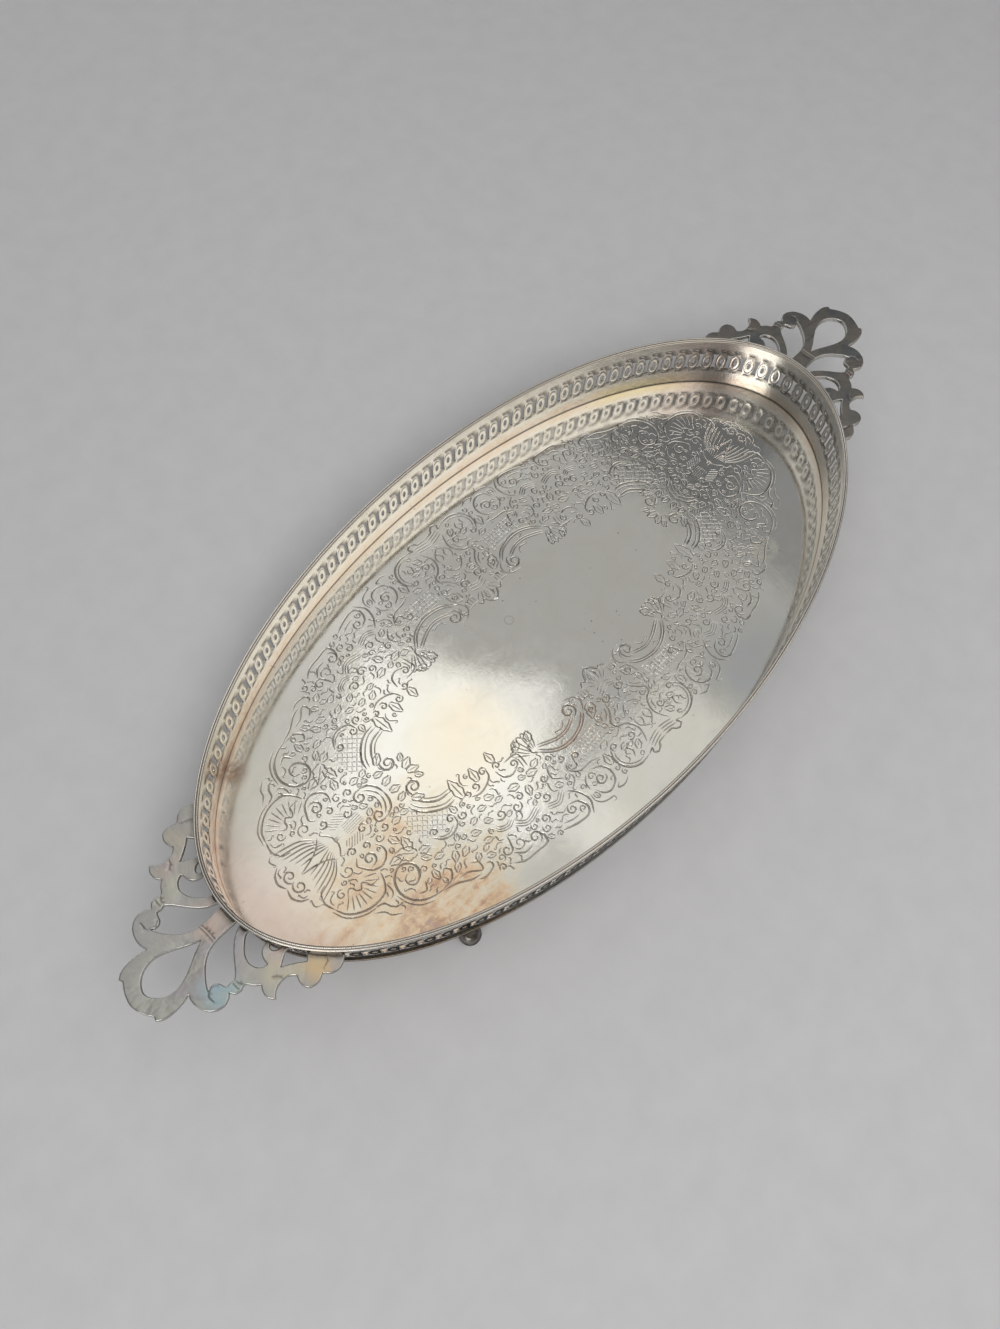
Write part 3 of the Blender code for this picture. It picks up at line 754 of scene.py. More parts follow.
def fill_ornament(o):
    """Sprigs, leaves and a few curls in whatever room the drawn scrolls leave.
    Their direction turns slowly over the floor, so that neighbours flow together."""
    rng = random.Random(11)
    kinds = ("curl",) * 2 + ("leaf",) * 2 + ("sprig",) * 5
    for pitch, least, most in ((5.4, 2.3, 3.8), (4.0, 1.9, 2.8), (3.0, 1.5, 2.1)):
        for row in range(int(84 / pitch)):
            for column in range(int(176 / pitch)):
                x = (column + 0.5 + 0.5 * (row % 2) + rng.uniform(-0.22, 0.22)) * pitch
                y = (row + 0.5 + rng.uniform(-0.22, 0.22)) * pitch
                flow = 2.4 * math.sin(x / 15.0) + 2.0 * math.cos(y / 12.0) + rng.uniform(-0.5, 0.5)
                kind, bend = rng.choice(kinds), rng.choice((-1, 1))
                at = np.array([x, y])
                if not inside(at[None], ORNAMENT_ZONE)[0] or min(x, y) < 1.2 or o.room(x, y) < least:
                    continue
                r = min(most, o.room(x, y)) - 0.45
                ahead = np.array([math.cos(flow), math.sin(flow)])
                if kind == "curl":
                    o.spiral(x, y, r, math.degrees(flow), 1.2 * bend, 0.28)
                elif kind == "leaf":
                    o.leaf(at - 1.1 * r * ahead, at + 1.1 * r * ahead, 0.32, 2, 0.25)
                else:
                    aside = bend * np.array([-ahead[1], ahead[0]])
                    for stretch in (2.3, 1.8, 1.4, 1.1):
                        curve = [at + stretch * r * (u * ahead + v * aside) for u, v in SPRIG]
                        if min(o.room(*p) for p in curve) > 0.95:
                            break
                    o.stroke(curve, 0.27, 0.35)


def add_clipped(drawing, points):
    """Adds the runs of a line that lie inside the quadrant, each out to the axis it crosses."""
    kept = (points > AXIS_MARGIN).all(axis=1)
    on_axis = np.where(points < AXIS_MARGIN, 0.0, points)
    run = []
    for k, point in enumerate(points):
        if kept[k]:
            if k and not run:
                run.append(on_axis[k - 1])
            run.append(point)
        elif run:
            drawing.line([*run, on_axis[k]])
            run = []
    if len(run) > 1:
        drawing.line(run)


def draw_border(drawing, o):
    """The quadrant's border, and points that keep the level metal between the strokes level."""
    angles = np.linspace(0, math.pi / 2, 72)
    rim = np.stack([ORNAMENT_HALF_LENGTH * np.cos(angles), ORNAMENT_HALF_WIDTH * np.sin(angles)], 1)
    along_x = [(x, 0.0) for x in np.linspace(0.0, ORNAMENT_HALF_LENGTH, 32)[:-1]]
    along_y = [(0.0, y) for y in np.linspace(ORNAMENT_HALF_WIDTH, 0.0, 16)[1:-1]]
    drawing.line(np.concatenate([along_x, rim, along_y]), closed=True)
    level = [(x, y) for x in np.arange(4, 180, 6.0) for y in np.arange(4, 88, 6.0)]
    reach = (np.array(level) / (ORNAMENT_HALF_LENGTH, ORNAMENT_HALF_WIDTH)) ** 2
    drawing.dots([p for p, r in zip(level, reach.sum(1)) if r < 0.96 and o.room(*p) > 1.5])


def draw_groove(drawing, curve, width):
    """The middle and both edges of a stroke, with level points round its ends."""
    spine = thinned(curve)
    half = width[[int(np.argmin(np.hypot(*(curve - p).T))) for p in spine]]
    along, side = directions(np.gradient(spine, axis=0))
    for offset in (-1.0, 0.0, 1.0):
        add_clipped(drawing, spine + (offset * (half + GROOVE_MARGIN))[:, None] * side)
    for end, inwards in ((0, 1.0), (-1, -1.0)):
        for angle in (-1.3, -0.65, 0.0, 0.65, 1.3):
            away = -inwards * math.cos(angle) * along[end] + math.sin(angle) * side[end]
            cap = spine[end] + (half[end] + 2 * GROOVE_MARGIN) * away
            if min(cap) > AXIS_MARGIN:
                drawing.dots([cap])


def engraved_quadrant():
    """(points, faces, depth) of one quadrant of the ornament patch, in millimetres."""
    o = Ornament()
    end_ornament(o)
    side_ornament(o)
    fill_ornament(o)
    drawing = Drawing()
    draw_border(drawing, o)
    for curve, width in o.strokes:
        draw_groove(drawing, curve, width)
    points, faces = drawing.triangles()
    tree = tree_of(o.samples)
    widths = np.concatenate([width for _, width in o.strokes])
    depth = np.zeros(len(points))
    for index, (x, y) in enumerate(points):
        near = tree.find_range((x, y, 0.0), GROOVE_REACH)
        depth[index] = max((widths[i] - away for _, i, away in near), default=0.0)
    depth[depth < LEAST_DEPTH] = 0.0
    return points, faces, depth


def ornament_patch():
    """(vertices, depths, faces) of the four mirrored quadrants, and which faces are engraved."""
    points, faces, depth = engraved_quadrant()
    on_axis = points < 1e-3
    engraved = inside(points[faces].mean(1), ORNAMENT_ZONE)
    turn = Matrix.Rotation(ORNAMENT_TURN, 2)
    verts, depths, all_faces, found = [], [], [], {}
    for signs in ((1, 1), (-1, 1), (-1, -1), (1, -1)):
        placed = np.where(on_axis, 0.0, points * signs)
        index = np.empty(len(points), int)
        for i, place in enumerate(placed):
            # Neighbouring quadrants share the points on the axis between them.
            key = tuple(np.round(place, 3) + 0.0) if on_axis[i].any() else (signs, i)
            if key not in found:
                found[key] = len(verts)
                at = turn @ Vector(place)
                height = FLOOR_TOP - GROOVE_SLOPE * depth[i] * MM
                verts.append(((at.x + ORNAMENT_SHIFT[0]) * MM, (at.y + ORNAMENT_SHIFT[1]) * MM, height))
                depths.append(depth[i])
            index[i] = found[key]
        turned = index[faces] if signs[0] * signs[1] > 0 else index[faces][:, ::-1]
        all_faces += [tuple(f) for f in turned]
    return verts, depths, all_faces, np.tile(engraved, 4)


def make_floor(material):
    """The plate: engraved patch, plain ring round it, edge and underside."""
    verts, depths, faces, engraved = ornament_patch()
    after = dict(open_edges(faces))
    ring = [next(iter(after))]
    while after[ring[-1]] != ring[0]:
        ring.append(after[ring[-1]])
    patch_edge = np.array([verts[i][:2] for i in ring])
    angles = np.arctan2(patch_edge[:, 1] / RIM_HALF_WIDTH, patch_edge[:, 0] / RIM_HALF_LENGTH)
    outer = oval_points(angles, PLATE_INSET)
    base, count = len(verts), len(ring)
    verts += [(x, y, z) for z in (FLOOR_TOP, PLATE_BOTTOM) for x, y in outer] + [(0.0, 0.0, PLATE_BOTTOM)]
    cuts = np.minimum(1.0, np.concatenate([depths, np.zeros(2 * count + 1)]) / FULL_DEPTH)
    for k in range(count):
        n = (k + 1) % count
        faces.append((ring[n], ring[k], base + k, base + n))
        faces.append((base + n, base + k, base + count + k, base + count + n))
        faces.append((base + count + n, base + count + k, base + 2 * count))
    floor = new_object("tray_floor", verts, faces, material, "tray_plate", sharp=9.0)
    round_bottoms(floor.data, cuts)
    add_values(floor, "cut", cuts)
    add_values(floor, "zone", np.concatenate([engraved, np.zeros(3 * count)]), "FACE")


def round_bottoms(mesh, cuts):
    """Makes the grooves' upper edges sharp and nothing else, so that their bottoms shade
    round and the level metal between them stays exactly level."""
    level = {}
    for face in mesh.polygons:
        flat = all(cuts[v] == 0 for v in face.vertices)
        for key in face.edge_keys:
            level.setdefault(key, set()).add(flat)
    sharp = np.empty(len(mesh.edges), bool)
    mesh.attributes["sharp_edge"].data.foreach_get("value", sharp)
    for index, edge in enumerate(mesh.edges):
        sides = level[edge.key]
        sharp[index] = len(sides) == 2 or (sharp[index] and sides == {True})
    mesh.attributes["sharp_edge"].data.foreach_set("value", sharp)


# ---------------------------------------------------------------- gallery

# The piercing, in millimetres along the strip and above its foot.
PITCHES_PER_STRIP = 62
PIERCED_CENTRE = 16.3
RING_WIDTH, RING_HEIGHT = 4.7, 10.4
HALF_SLOT = ((0.0, 21.2), (0.75, 21.3), (1.42, 21.5), (1.38, 20.5), (1.05, 19.6), (0.92, 18.6), (0.92, 16.3))
ARCH = ((-1.45, 9.3), (-1.0, 10.1), (0.0, 10.5), (1.0, 10.1), (1.45, 9.3), (0.9, 9.2), (0.0, 9.5),
        (-0.9, 9.2))


def slot_outline():
    """The pierced capital-I slot, centred on x = 0."""
    right = [*HALF_SLOT, *((x, 2 * PIERCED_CENTRE - z) for x, z in reversed(HALF_SLOT[:-1]))]
    return np.array(right + [(-x, z) for x, z in reversed(right[1:-1])])


def ring_relief(x, z):
    """Height of the oval ring round each small hole, and how deep a point is cut."""
    radius = np.sqrt((x / (RING_WIDTH / 2)) ** 2 + ((z - PIERCED_CENTRE) / (RING_HEIGHT / 2)) ** 2)

    def ridge(at, width):
        return np.exp(-(((radius - at) / width) ** 2))

    return 0.18 * ridge(0.84, 0.13) - 0.10 * ridge(1.06, 0.06), ridge(1.06, 0.05)


def gallery_cell(pitch, height):
    """One pitch of the pierced strip: (points, faces, left end)."""
    right = RING_WIDTH / 2 + 0.05
    left = right - pitch
    drawing = Drawing()
    columns = np.linspace(left, right, 9)
    rows = (1.2, 3, 6, 9, 12, 14, 16.3, 18.6, 21, 23.5, 26, 29)
    outline = [(x, 0.0) for x in columns] + [(right, z) for z in rows]
    outline += [(x, height) for x in columns[::-1]] + [(left, z) for z in reversed(rows)]
    drawing.line(outline, closed=True)
    slot = slot_outline() - (pitch / 2, 0.0)
    hole = oval_outline(1.8, 4.0, PIERCED_CENTRE, 16)
    dash = oval_outline(3.0, 1.0, 24.0, 14)
    holes = [slot, hole, dash, np.array(ARCH)]
    for loop in holes:
        drawing.line(loop, closed=True)
    for share in (0.55, 0.70, 0.84, 0.97):
        drawing.line(oval_outline(RING_WIDTH * share, RING_HEIGHT * share, PIERCED_CENTRE, 30), closed=True)
    for share in (1.02, 1.06, 1.12):
        loop = oval_outline(RING_WIDTH * share, RING_HEIGHT * share, PIERCED_CENTRE, 36)
        drawing.dots(loop[(loop[:, 0] < right - 0.04) & (loop[:, 0] > slot[:, 0].max() + 0.02)])
    drawing.dots([(x, z) for x in columns[1:-1] for z in (1.2, 3, 6, 8.2, 26, 28)])
    points, faces = drawing.triangles()
    middle = points[faces].mean(1)
    pierced = np.any([inside(middle, loop) for loop in holes], axis=0)
    return *only_used(points, faces[~pierced]), left


def make_gallery(material):
    """Both strips of the wall: one pitch is repeated along a strip and bent round the oval."""
    angles = np.linspace(0.0, math.pi, 4001)
    lengths = run_lengths(oval_points(angles, GALLERY_TOP_INSET + (GALLERY_FLARE + GALLERY_THICKNESS) / 2))
    pitch = lengths[-1] / PITCHES_PER_STRIP / MM
    height = (GALLERY_TOP - GALLERY_BOTTOM) / MM
    points, faces, left = gallery_cell(pitch, height)
    relief, cut = ring_relief(points[:, 0], points[:, 1])
    count = len(points)
    # Walls go round all openings and along the strip's edges, but not where two pitches meet.
    on_end = [np.abs(points[:, 0] - end) < 1e-3 for end in (left, left + pitch)]
    walls = [(a, b) for a, b in open_edges(faces) if not any(end[a] and end[b] for end in on_end)]
    rims = np.isin(np.arange(count), walls) & (points[:, 1] > 0.01) & (points[:, 1] < height - 0.01)
    # The piercing is painted dark inside as painted shade. Outside, its edges are left clean of the painted
    # dark reflection: wear and a painted highlight round each hole.
    cut[rims] = 1.0
    up = points[:, 1] * MM
    centre = GALLERY_TOP_INSET + GALLERY_THICKNESS / 2 + GALLERY_FLARE * (1.0 - up / (height * MM))
    half = GALLERY_THICKNESS / 2 - 0.0001 + relief * MM * 0.5
    verts, values, all_faces = [], [], []
    for cell in range(PITCHES_PER_STRIP):
        base = len(verts)
        along = (points[:, 0] + cell * pitch) * MM
        at = np.where(along < 0, along / lengths[1] * angles[1], np.interp(along, lengths, angles))
        for sign in (1, -1):
            plan = oval_points(at, centre + sign * half)
            verts += [(x, y, GALLERY_BOTTOM + z) for (x, y), z in zip(plan, up)]
            values += [(c, 0.0) if sign > 0 else (0.0, 0.0) if r else (c, 1.0) for c, r in zip(cut, rims)]
        all_faces += [(a + base, b + base, c + base) for a, b, c in faces]
        all_faces += [(c + base + count, b + base + count, a + base + count) for a, b, c in faces]
        all_faces += [(b + base, a + base, a + base + count, b + base + count) for a, b in walls]
    verts, all_faces, values = welded(verts, all_faces, values)
    for end, sign in (("rear", 1), ("front", -1)):
        placed = [(sign * x, sign * y, z) for x, y, z in verts]
        strip = new_object("gallery_" + end, placed, all_faces, material,
                           "gallery_strip_" + end, sharp=35.0)
        add_values(strip, "cut", [cut for cut, _ in values])
        add_values(strip, "outer", [outer for _, outer in values])


def welded(verts, faces, values, grid=1e-6):
    """Joins vertices at the same place, and drops the corners and faces that this closes."""
    found, index, out, kept = {}, [], [], []
    for vert, value in zip(verts, values):
        key = tuple(round(v / grid) for v in vert)
        if key not in found:
            found[key] = len(out)
            out.append(vert)
            kept.append(value)
        index.append(found[key])
    joined = [[index[i] for i in face] for face in faces]
    open_rings = [tuple(v for i, v in enumerate(face) if v != face[i - 1]) for face in joined]
    return out, [ring for ring in open_rings if len(ring) > 2], kept


# ---------------------------------------------------------------- wires and feet


def grid_faces(rows, size, closed):
    """Quads between rows of points, each row closed to a ring. The rows may close to a ring too."""
    faces = []
    for row in range(rows if closed else rows - 1):
        here, ahead = row * size, (row + 1) % rows * size
        for j in range(size):
            n = (j + 1) % size
            faces.append((here + j, ahead + j, ahead + n, here + n))
    return faces


def swept_ring(profile, angles, shifts):
    """Sweeps a closed profile of (inset, height) points round the oval, each raised by its shift."""
    verts = []
    for angle, shift in zip(angles, shifts):
        plan = oval_points(angle, profile[:, 0])
        verts += [(x, y, z) for (x, y), z in zip(plan, profile[:, 1] + shift)]
    return verts, grid_faces(len(angles), len(profile), True)


# Section of the rim wire: inset and height below its top in millimetres, and how dark it is.
RIM_SECTION = (
    (0.00, -1.10, 0.3), (0.02, -0.75, 0), (0.06, -0.42, 0), (0.22, -0.14, 0), (0.46, -0.02, 0),
    (0.70, -0.02, 0), (0.88, -0.12, 0.1), (1.00, -0.34, 0.9), (1.14, -0.40, 1.0), (1.28, -0.34, 0.9),
    (1.36, -0.20, 0.2), (1.54, -0.10, 0), (1.74, -0.12, 0), (1.88, -0.26, 0.2), (1.96, -0.44, 0.9),
    (2.08, -0.46, 0.8), (2.20, -0.62, 0.3), (2.22, -0.95, 0), (2.10, -1.50, 0.2), (1.70, -2.05, 0.6),
    (1.10, -2.20, 0.8), (0.45, -2.00, 0.4), (0.10, -1.55, 0.2),
)
RIM_BEADS = 1180
BEAD_STEPS = (0.0, -0.00013, -0.00013)


def make_rim(material):
    """The rim wire: a smooth outer bead, a dark channel and a finely milled inner line."""
    section = np.array(RIM_SECTION)
    inset, depth, dark = section.T
    milled = (1.30 < inset) & (inset < 1.92) & (depth > -0.3)
    angles = even_angles(RIM_BEADS * len(BEAD_STEPS), 0.0012)
    shifts = [milled * BEAD_STEPS[k % len(BEAD_STEPS)] for k in range(len(angles))]
    verts, faces = swept_ring(np.stack([inset * MM, RIM_TOP + depth * MM], 1), angles, shifts)
    rim = new_object("rim_edge", verts, faces, material, "rim_wire", sharp=50.0)
    add_values(rim, "cut", np.tile(dark, len(angles)))


def make_base_wire(material):
    low, high = (corner.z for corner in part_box("base_wire"))
    turns = np.linspace(0, 2 * math.pi, 20, endpoint=False)
    insets = BASE_WIRE_INSET - BASE_WIRE_RADIUS * np.cos(turns)
    profile = np.stack([insets, (low + high) / 2 + BASE_WIRE_RADIUS * np.sin(turns)], 1)[::-1]
    verts, faces = swept_ring(profile, even_angles(360, BASE_WIRE_INSET), np.zeros(360))
    wire = new_object("base_edge", verts, faces, material, "base_wire")
    # The whole base wire is painted dark: a painted dark reflection.
    add_values(wire, "cut", np.full(len(verts), 0.85))


def make_feet(material):
    """Ball feet with a flat pad below and a short neck up to the base wire."""
    turns = np.linspace(0, 2 * math.pi, 48, endpoint=False)
    for name in ("foot_front_left", "foot_front_right", "foot_rear_left", "foot_rear_right"):
        low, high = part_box(name)
        centre = (low + high) / 2
        radius = (high.x - low.x) / 2
        ball = [
            (radius * math.cos(angle), 0.0047 + radius * math.sin(angle))
            for angle in np.radians(np.linspace(-62, 58, 22))
        ]
        profile = [(0.0, 0.0), (0.0019, 0.00002), *ball, (0.0024, high.z - 0.00005), (0.0, high.z)]
        ring = [(math.cos(turn), math.sin(turn)) for turn in turns]
        verts = [(centre.x + r * x, centre.y + r * y, z) for r, z in profile for x, y in ring]
        faces = [face[::-1] for face in grid_faces(len(profile), len(turns), False)]
        verts, faces, _ = welded(verts, faces, verts)
        new_object(name + "_ball", verts, faces, material, name, sharp=40)


# ---------------------------------------------------------------- handles

# Half of the handle's outline, in millimetres: outwards from the rim, then sideways.
# A third value marks a corner; everywhere else the outline runs smoothly through the points.
HANDLE_EDGE = (
    (48.2, 4.0), (46.8, 7.2), (45.4, 9.6, True), (46.0, 11.2, True),
    (43.6, 13.0), (39.5, 13.8), (35.0, 13.6), (31.2, 12.8, True),
    (32.0, 16.0), (31.5, 20.0), (29.2, 24.0), (25.0, 26.1),
    (21.6, 25.3), (19.8, 23.8, True), (18.6, 25.6), (16.4, 26.4),
    (13.6, 25.8), (11.4, 28.6), (9.3, 30.4, True), (10.9, 33.4),
    (10.7, 36.4), (8.9, 38.7, True), (7.2, 36.7), (3.8, 35.3),
    (-0.4, 35.8), (-2.7, 37.9, True), (-1.6, 41.0), (-2.6, 44.6),
    (-5.4, 46.0), (-8.4, 45.7), (-10.3, 44.8, True), (-13.4, 47.6),
    (-17.4, 48.2), (-21.6, 45.9, True), (-24.0, 40.0, True), (-14.0, 12.0, True),
)
TEARDROP = (
    (18.5, 1.9), (24.0, 4.9), (29.0, 7.1), (33.5, 7.8),
    (38.0, 6.5), (41.4, 3.2),
)
TEARDROP_ROOT = (14.2, 0.0, True)
TEARDROP_END = (42.5, 0.0)
HANDLE_END = (49.0, 0.0)
STEM_GAP = (
    (-3.0, 4.7, True), (1.0, 4.7), (6.0, 4.5), (10.5, 4.6),
    (14.5, 5.6), (18.4, 8.0), (21.8, 11.8), (24.2, 15.4),
    (25.0, 17.6, True), (22.6, 16.6), (20.4, 17.8), (19.4, 20.4),
    (18.9, 21.4, True), (17.0, 21.0), (15.3, 21.5, True), (13.0, 19.2),
    (10.4, 15.6), (7.6, 12.0), (4.4, 8.9), (0.8, 6.9),
    (-3.0, 6.0, True),
)
BUD_GAP = (
    (-3.5, 10.9, True), (0.2, 11.3), (3.4, 13.8), (6.0, 17.2),
    (6.9, 20.8), (6.0, 24.0), (4.3, 25.7), (2.4, 26.3, True),
    (2.0, 23.4), (0.6, 20.9), (-1.6, 19.7), (-6.5, 19.0, True),
)
BUD_NOTCH = (
    (-8.0, 20.5, True), (-4.6, 20.8), (-2.6, 22.6), (-4.2, 24.8),
    (-8.5, 25.3, True),
)
WING_GAP = (
    (-0.7, 31.0, True), (-3.6, 32.6), (-7.0, 34.9), (-9.3, 36.8, True),
    (-12.5, 33.0, True), (-10.5, 27.4, True), (-6.2, 27.8), (-3.4, 29.2),
)
# The sheet's thickness, its middle's height above the floor, both in millimetres, and its slope.
HANDLE_THICKNESS = 2.4
HANDLE_CENTRE = 28.3
HANDLE_RISE = math.radians(2.6)
# How far in from the rim's edge a casting ends, the width of its rounded edges and of its cut lines.
HANDLE_TRIM = 0.4
EDGE_ROUND = 0.60
HANDLE_LINE_HALF = 0.26
LINE_DEPTH = 0.14


def bezier_loop(points, step=0.45):
    """A closed loop through the points, smooth except at the corners."""
    count = len(points)
    at = [np.array(p[:2], float) for p in points]
    out = []
    for i in range(count):
        a, b = at[i], at[(i + 1) % count]
        length = float(np.hypot(*(b - a)))

        def pull(k, sign):
            here, before, after = at[k], at[k - 1], at[(k + 1) % count]
            if len(points[k]) > 2:
                other = after if sign > 0 else before
                return here + (other - here) / 3
            direction = (after - here) / np.hypot(*(after - here))
            direction = direction + (here - before) / np.hypot(*(here - before))
            return here + sign * direction / np.hypot(*direction) * length * 0.36

        c1, c2 = pull(i, 1), pull((i + 1) % count, -1)
        t = np.linspace(0, 1, max(2, int(length / step)), endpoint=False)[:, None]
        out.append((1 - t) ** 3 * a + 3 * (1 - t) ** 2 * t * c1 + 3 * (1 - t) * t**2 * c2 + t**3 * b)
    return np.concatenate(out)


def mirrored(points):
    return tuple((out, -side, *corner) for out, side, *corner in reversed(points))


def dense_loop(loop, step=0.12):
    """The same loop with points at most a step apart."""
    out = []
    for a, b in zip(loop, np.roll(loop, -1, axis=0)):
        count = max(1, int(np.hypot(*(b - a)) / step))
        out.append(a + (b - a) * (np.arange(count) / count)[:, None])
    return np.concatenate(out)


# Cut lines on the handles. A line that doesn't cross the middle is on both sides.
HANDLE_LINES = (
    ((10.2, -4.3), (10.0, 0.0), (10.2, 4.3)),
    ((11.4, -4.3), (11.2, 0.0), (11.4, 4.3)),
    ((21.0, 18.6), (22.6, 17.4), (25.0, 17.6), (26.6, 19.4), (26.4, 22.0)),
    ((14.4, 25.0), (15.2, 23.4), (15.0, 22.4)),
    ((16.4, 25.6), (16.7, 24.0), (16.6, 22.2)),
    ((2.0, 34.6), (2.8, 33.0), (4.4, 31.8)),
    ((-12.2, 43.4), (-14.6, 42.6), (-16.4, 41.0)),
)


def handle_lines():
    """The cut lines of both halves as smooth curves."""
    lines = []
    for line in HANDLE_LINES:
        crosses = line[0][1] < 0
        for sign in (1,) if crosses else (1, -1):
            lines.append(smooth_curve([(u, sign * v) for u, v in line], step=0.3))
    return lines


def handle_shape():
    """Top sheet of one handle in its own plane: points, faces, edge distance and cut."""
    loops = [
        bezier_loop((HANDLE_END, *HANDLE_EDGE, *mirrored(HANDLE_EDGE))),
        bezier_loop((TEARDROP_ROOT, *TEARDROP, TEARDROP_END, *mirrored(TEARDROP))),
    ]
    for gap in (STEM_GAP, BUD_GAP, BUD_NOTCH, WING_GAP):
        loops += [bezier_loop(gap), bezier_loop(mirrored(gap))]
    rim_end = (RIM_HALF_LENGTH / MM, 0.0)
    trim = oval_points(np.linspace(-0.62, 0.62, 320), HANDLE_TRIM * MM) / MM - rim_end
    drawing = Drawing()
    for loop in loops:
        drawing.line(loop, closed=True)
    drawing.line(trim)
    edge_tree = tree_of(np.concatenate([dense_loop(loop) for loop in loops] + [trim]))
    half_axes = np.array([RIM_HALF_LENGTH, RIM_HALF_WIDTH]) / MM - HANDLE_TRIM

    def solid(points):
        kept = np.zeros(len(points), bool)
        for loop in loops:
            kept ^= inside(points, loop)
        return kept & ((((points + rim_end) / half_axes) ** 2).sum(1) > 1.0)

    def edge_distance(points):
        return np.array([edge_tree.find((x, y, 0.0))[2] for x, y in points])

    def add_dots(points, away):
        drawing.dots(points[solid(points) & (edge_distance(points) > away)])

    for away in (0.10, 0.28, 0.52, EDGE_ROUND + 0.05):
        for loop in loops:
            _, side = directions(np.roll(loop, -1, axis=0) - np.roll(loop, 1, axis=0))
            for sign in (1, -1):
                add_dots(loop + sign * away * side, 0.93 * away)
    lines = handle_lines()
    for curve in lines:
        _, side = directions(np.gradient(curve, axis=0))
        for offset in (-HANDLE_LINE_HALF, 0.0, HANDLE_LINE_HALF):
            add_dots(curve + offset * side, 0.15)
    add_dots(np.array([(u, v) for u in np.arange(-24, 50, 1.6) for v in np.arange(-49, 49, 1.6)]), 1.1)
    points, faces = drawing.triangles()
    points, faces = only_used(points, faces[solid(points[faces].mean(1))])
    line_tree = tree_of(np.concatenate(lines))
    cut = [max(0.0, 1.0 - line_tree.find((x, y, 0.0))[2] / HANDLE_LINE_HALF) for x, y in points]
    return points, faces, edge_distance(points), np.array(cut)


def make_handles(material):
    """The two flat castings, with rounded edges and fine cut lines on top."""
    points, faces, away, cut = handle_shape()
    shoulder = np.clip(1 - away / EDGE_ROUND, 0, 1)
    half = HANDLE_THICKNESS / 2 - EDGE_ROUND * 0.8 * (1 - np.sqrt(np.maximum(0.0, 1 - shoulder**2)))
    top = half - LINE_DEPTH * cut * (away > 0.1)
    verts = [(*p, z) for z_values in (top, -half) for p, z in zip(points, z_values)]
    n = len(points)
    all_faces = [tuple(f) for f in faces] + [(c + n, b + n, a + n) for a, b, c in faces]
    all_faces += [(b, a, a + n, b + n) for a, b in open_edges(faces)]
    centre = Matrix.Translation((RIM_HALF_LENGTH, 0.0, FLOOR_TOP + HANDLE_CENTRE * MM))
    right = centre @ Matrix.Rotation(-HANDLE_RISE, 4, "Y")
    for node, matrix in (("handle_right", right), ("handle_left", Matrix.Rotation(math.pi, 4, "Z") @ right)):
        placed = [matrix @ Vector((u * MM, v * MM, w * MM)) for u, v, w in verts]
        handle = new_object(node + "_cast", placed, all_faces, material, node, sharp=60)
        add_values(handle, "cut", np.concatenate([cut, np.zeros(n)]))
        add_values(handle, "edge", np.tile(shoulder, 2))


# ---------------------------------------------------------------- stage


def make_stage():
    g = Graph("stage_floor")
    colour = g.ramp(g.noise(60.0, 3.0), (0.3, (0.60, 0.60, 0.61)), (0.7, (0.63, 0.63, 0.64)))
    g.finish(colour, 0.6, 0.0)
    mesh = bpy.data.meshes.new("stage_floor")
    half = 6.0
    corners = [(-half, -half, 0), (half, -half, 0), (half, half, 0), (-half, half, 0)]
    mesh.from_pydata(corners, [], [(0, 1, 2, 3)])
    mesh.materials.append(g.material)
    floor = bpy.data.objects.new("stage_floor", mesh)
    bpy.context.scene.collection.objects.link(floor)


# Overhead panels: centre and size in plan, turn, height, radiance and colour.
PANELS = (
    ("panel_wide", (0.30, 0.33), (1.24, 1.30), 0.0, 1.24, 0.28, (1.0, 0.985, 0.93)),
    ("panel_left", (-0.11, 0.33), (0.92, 1.20), 0.0, 1.22, 0.15, (1.0, 0.98, 0.94)),
    ("panel_end", (-0.26, 0.20), (0.56, 0.39), 0.0, 1.21, 0.34, (1.0, 0.97, 0.94)),
    ("panel_bright", (0.22, 0.29), (0.30, 0.36), 0.57, 1.19, 0.56, (1.0, 0.99, 0.95)),
    ("panel_back", (0.54, 0.79), (1.36, 0.42), 0.0, 1.20, 0.14, (1.0, 0.98, 0.95)),
    ("panel_edge", (0.42, 0.01), (0.36, 0.16), 0.0, 1.18, 0.28, (1.0, 0.96, 0.88)),
    ("panel_right", (1.17, 0.09), (0.56, 0.32), 0.0, 1.20, 0.12, (1.0, 1.0, 1.0)),
    ("panel_front", (0.42, -0.65), (1.30, 0.80), 0.0, 1.20, 1.00, (1.0, 0.96, 0.90)),
)

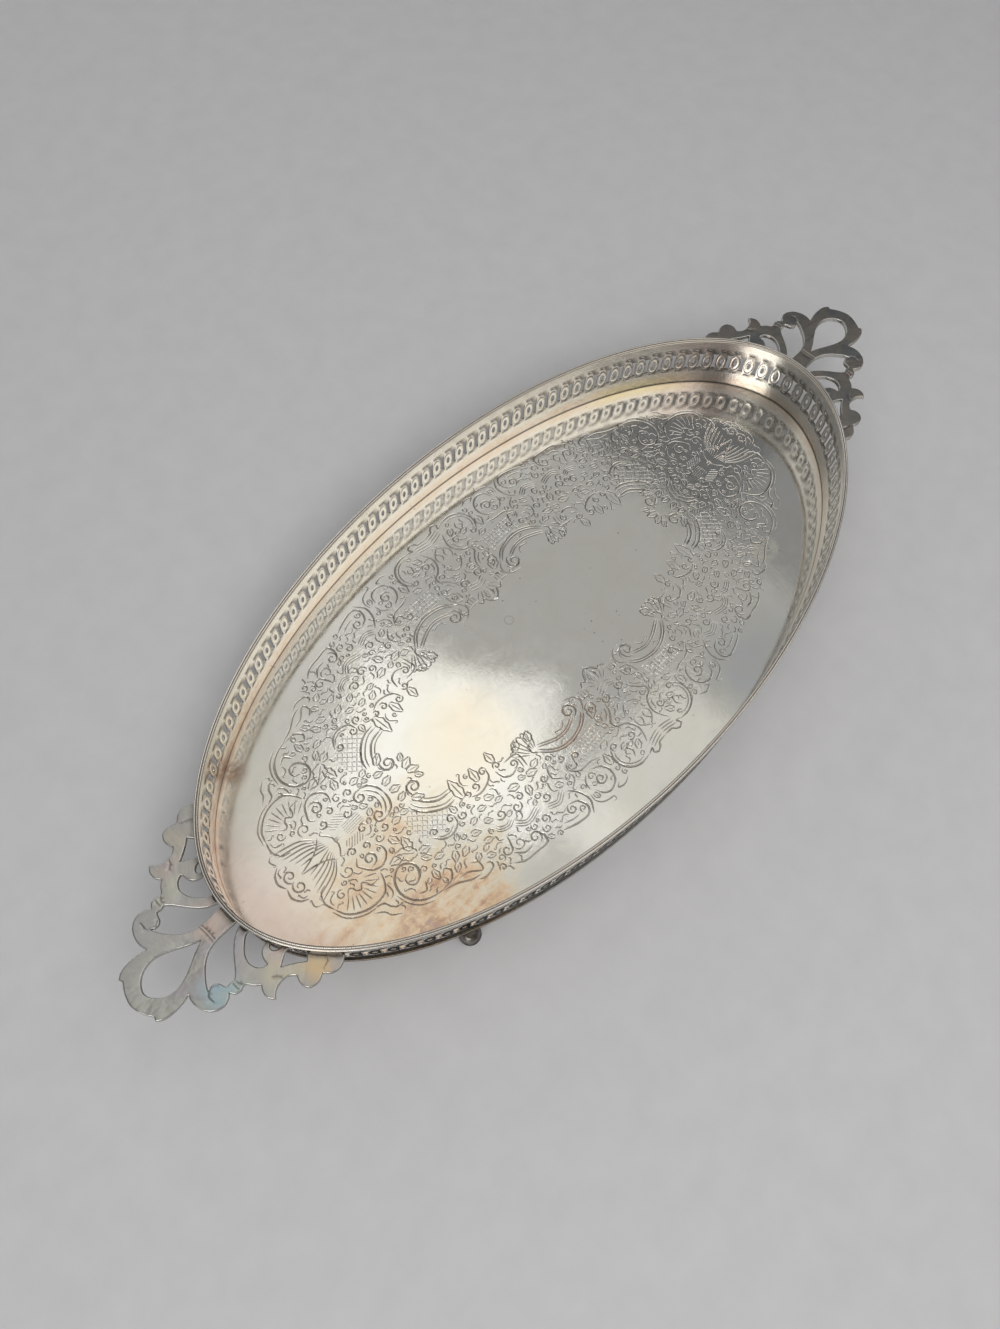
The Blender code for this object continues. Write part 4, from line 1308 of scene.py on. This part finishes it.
# Lights aimed at the tray: place, size, radiance and colour. The fill isn't seen in the metal.
SOFTBOXES = (
    ("softbox_side", (-1.25, -0.55, 0.95), (0.9, 0.9), 2.5, (1.0, 0.98, 0.95)),
    ("softbox_rear", (0.2, 1.6, 0.9), (1.4, 0.6), 0.9, (0.93, 0.96, 1.0)),
    ("fill", (-0.5, -1.2, 1.9), (1.3, 1.3), 3.0, (1.0, 1.0, 1.0)),
)


def area_light(name, location, turn, size, radiance, colour):
    light = bpy.data.lights.new(name, "AREA")
    light.shape = "RECTANGLE"
    light.size, light.size_y = size
    light.energy = radiance * math.pi * size[0] * size[1]
    light.color = colour
    obj = bpy.data.objects.new(name, light)
    bpy.context.scene.collection.objects.link(obj)
    obj.location = location
    obj.rotation_mode = "QUATERNION"
    obj.rotation_quaternion = turn
    return obj


def make_lights():
    world = bpy.data.worlds.new("studio")
    bpy.context.scene.world = world
    world.use_nodes = True
    background = world.node_tree.nodes["Background"]
    background.inputs["Color"].default_value = (0.152, 0.154, 0.158, 1.0)
    for name, (x, y), size, turn, height, radiance, colour in PANELS:
        down = Matrix.Rotation(turn, 3, "Z").to_quaternion()
        area_light(name, (x, y, height), down, size, radiance, colour)
    for name, place, size, radiance, colour in SOFTBOXES:
        light = area_light(name, place, (-Vector(place)).to_track_quat("-Z", "Y"), size, radiance, colour)
        light.visible_glossy = name != "fill"


def make_camera():
    """The camera solved from the photo: its lens, its place and the directions of its axes."""
    camera = bpy.data.cameras.new("camera")
    camera.lens = 27.011
    camera.sensor_width = 36.0
    camera.clip_start = 0.01
    obj = bpy.data.objects.new("camera", camera)
    bpy.context.scene.collection.objects.link(obj)
    right = Vector((0.67683866, -0.73476188, 0.04488214))
    down = Vector((-0.65757791, -0.63089266, -0.41178360))
    forward = Vector((0.33087871, 0.24919755, -0.91017573))
    turn = Matrix((right, -down, -forward)).transposed()
    obj.matrix_world = Matrix.Translation((-0.19238, -0.11849, 0.45976)) @ turn.to_4x4()
    bpy.context.scene.camera = obj
    bpy.context.scene.view_settings.view_transform = "Standard"


def main():
    make_floor(floor_material())
    make_gallery(gallery_material())
    wire = wire_material()
    make_rim(wire)
    make_base_wire(wire)
    make_handles(handle_material())
    make_feet(foot_material())
    make_stage()
    make_lights()
    make_camera()


main()
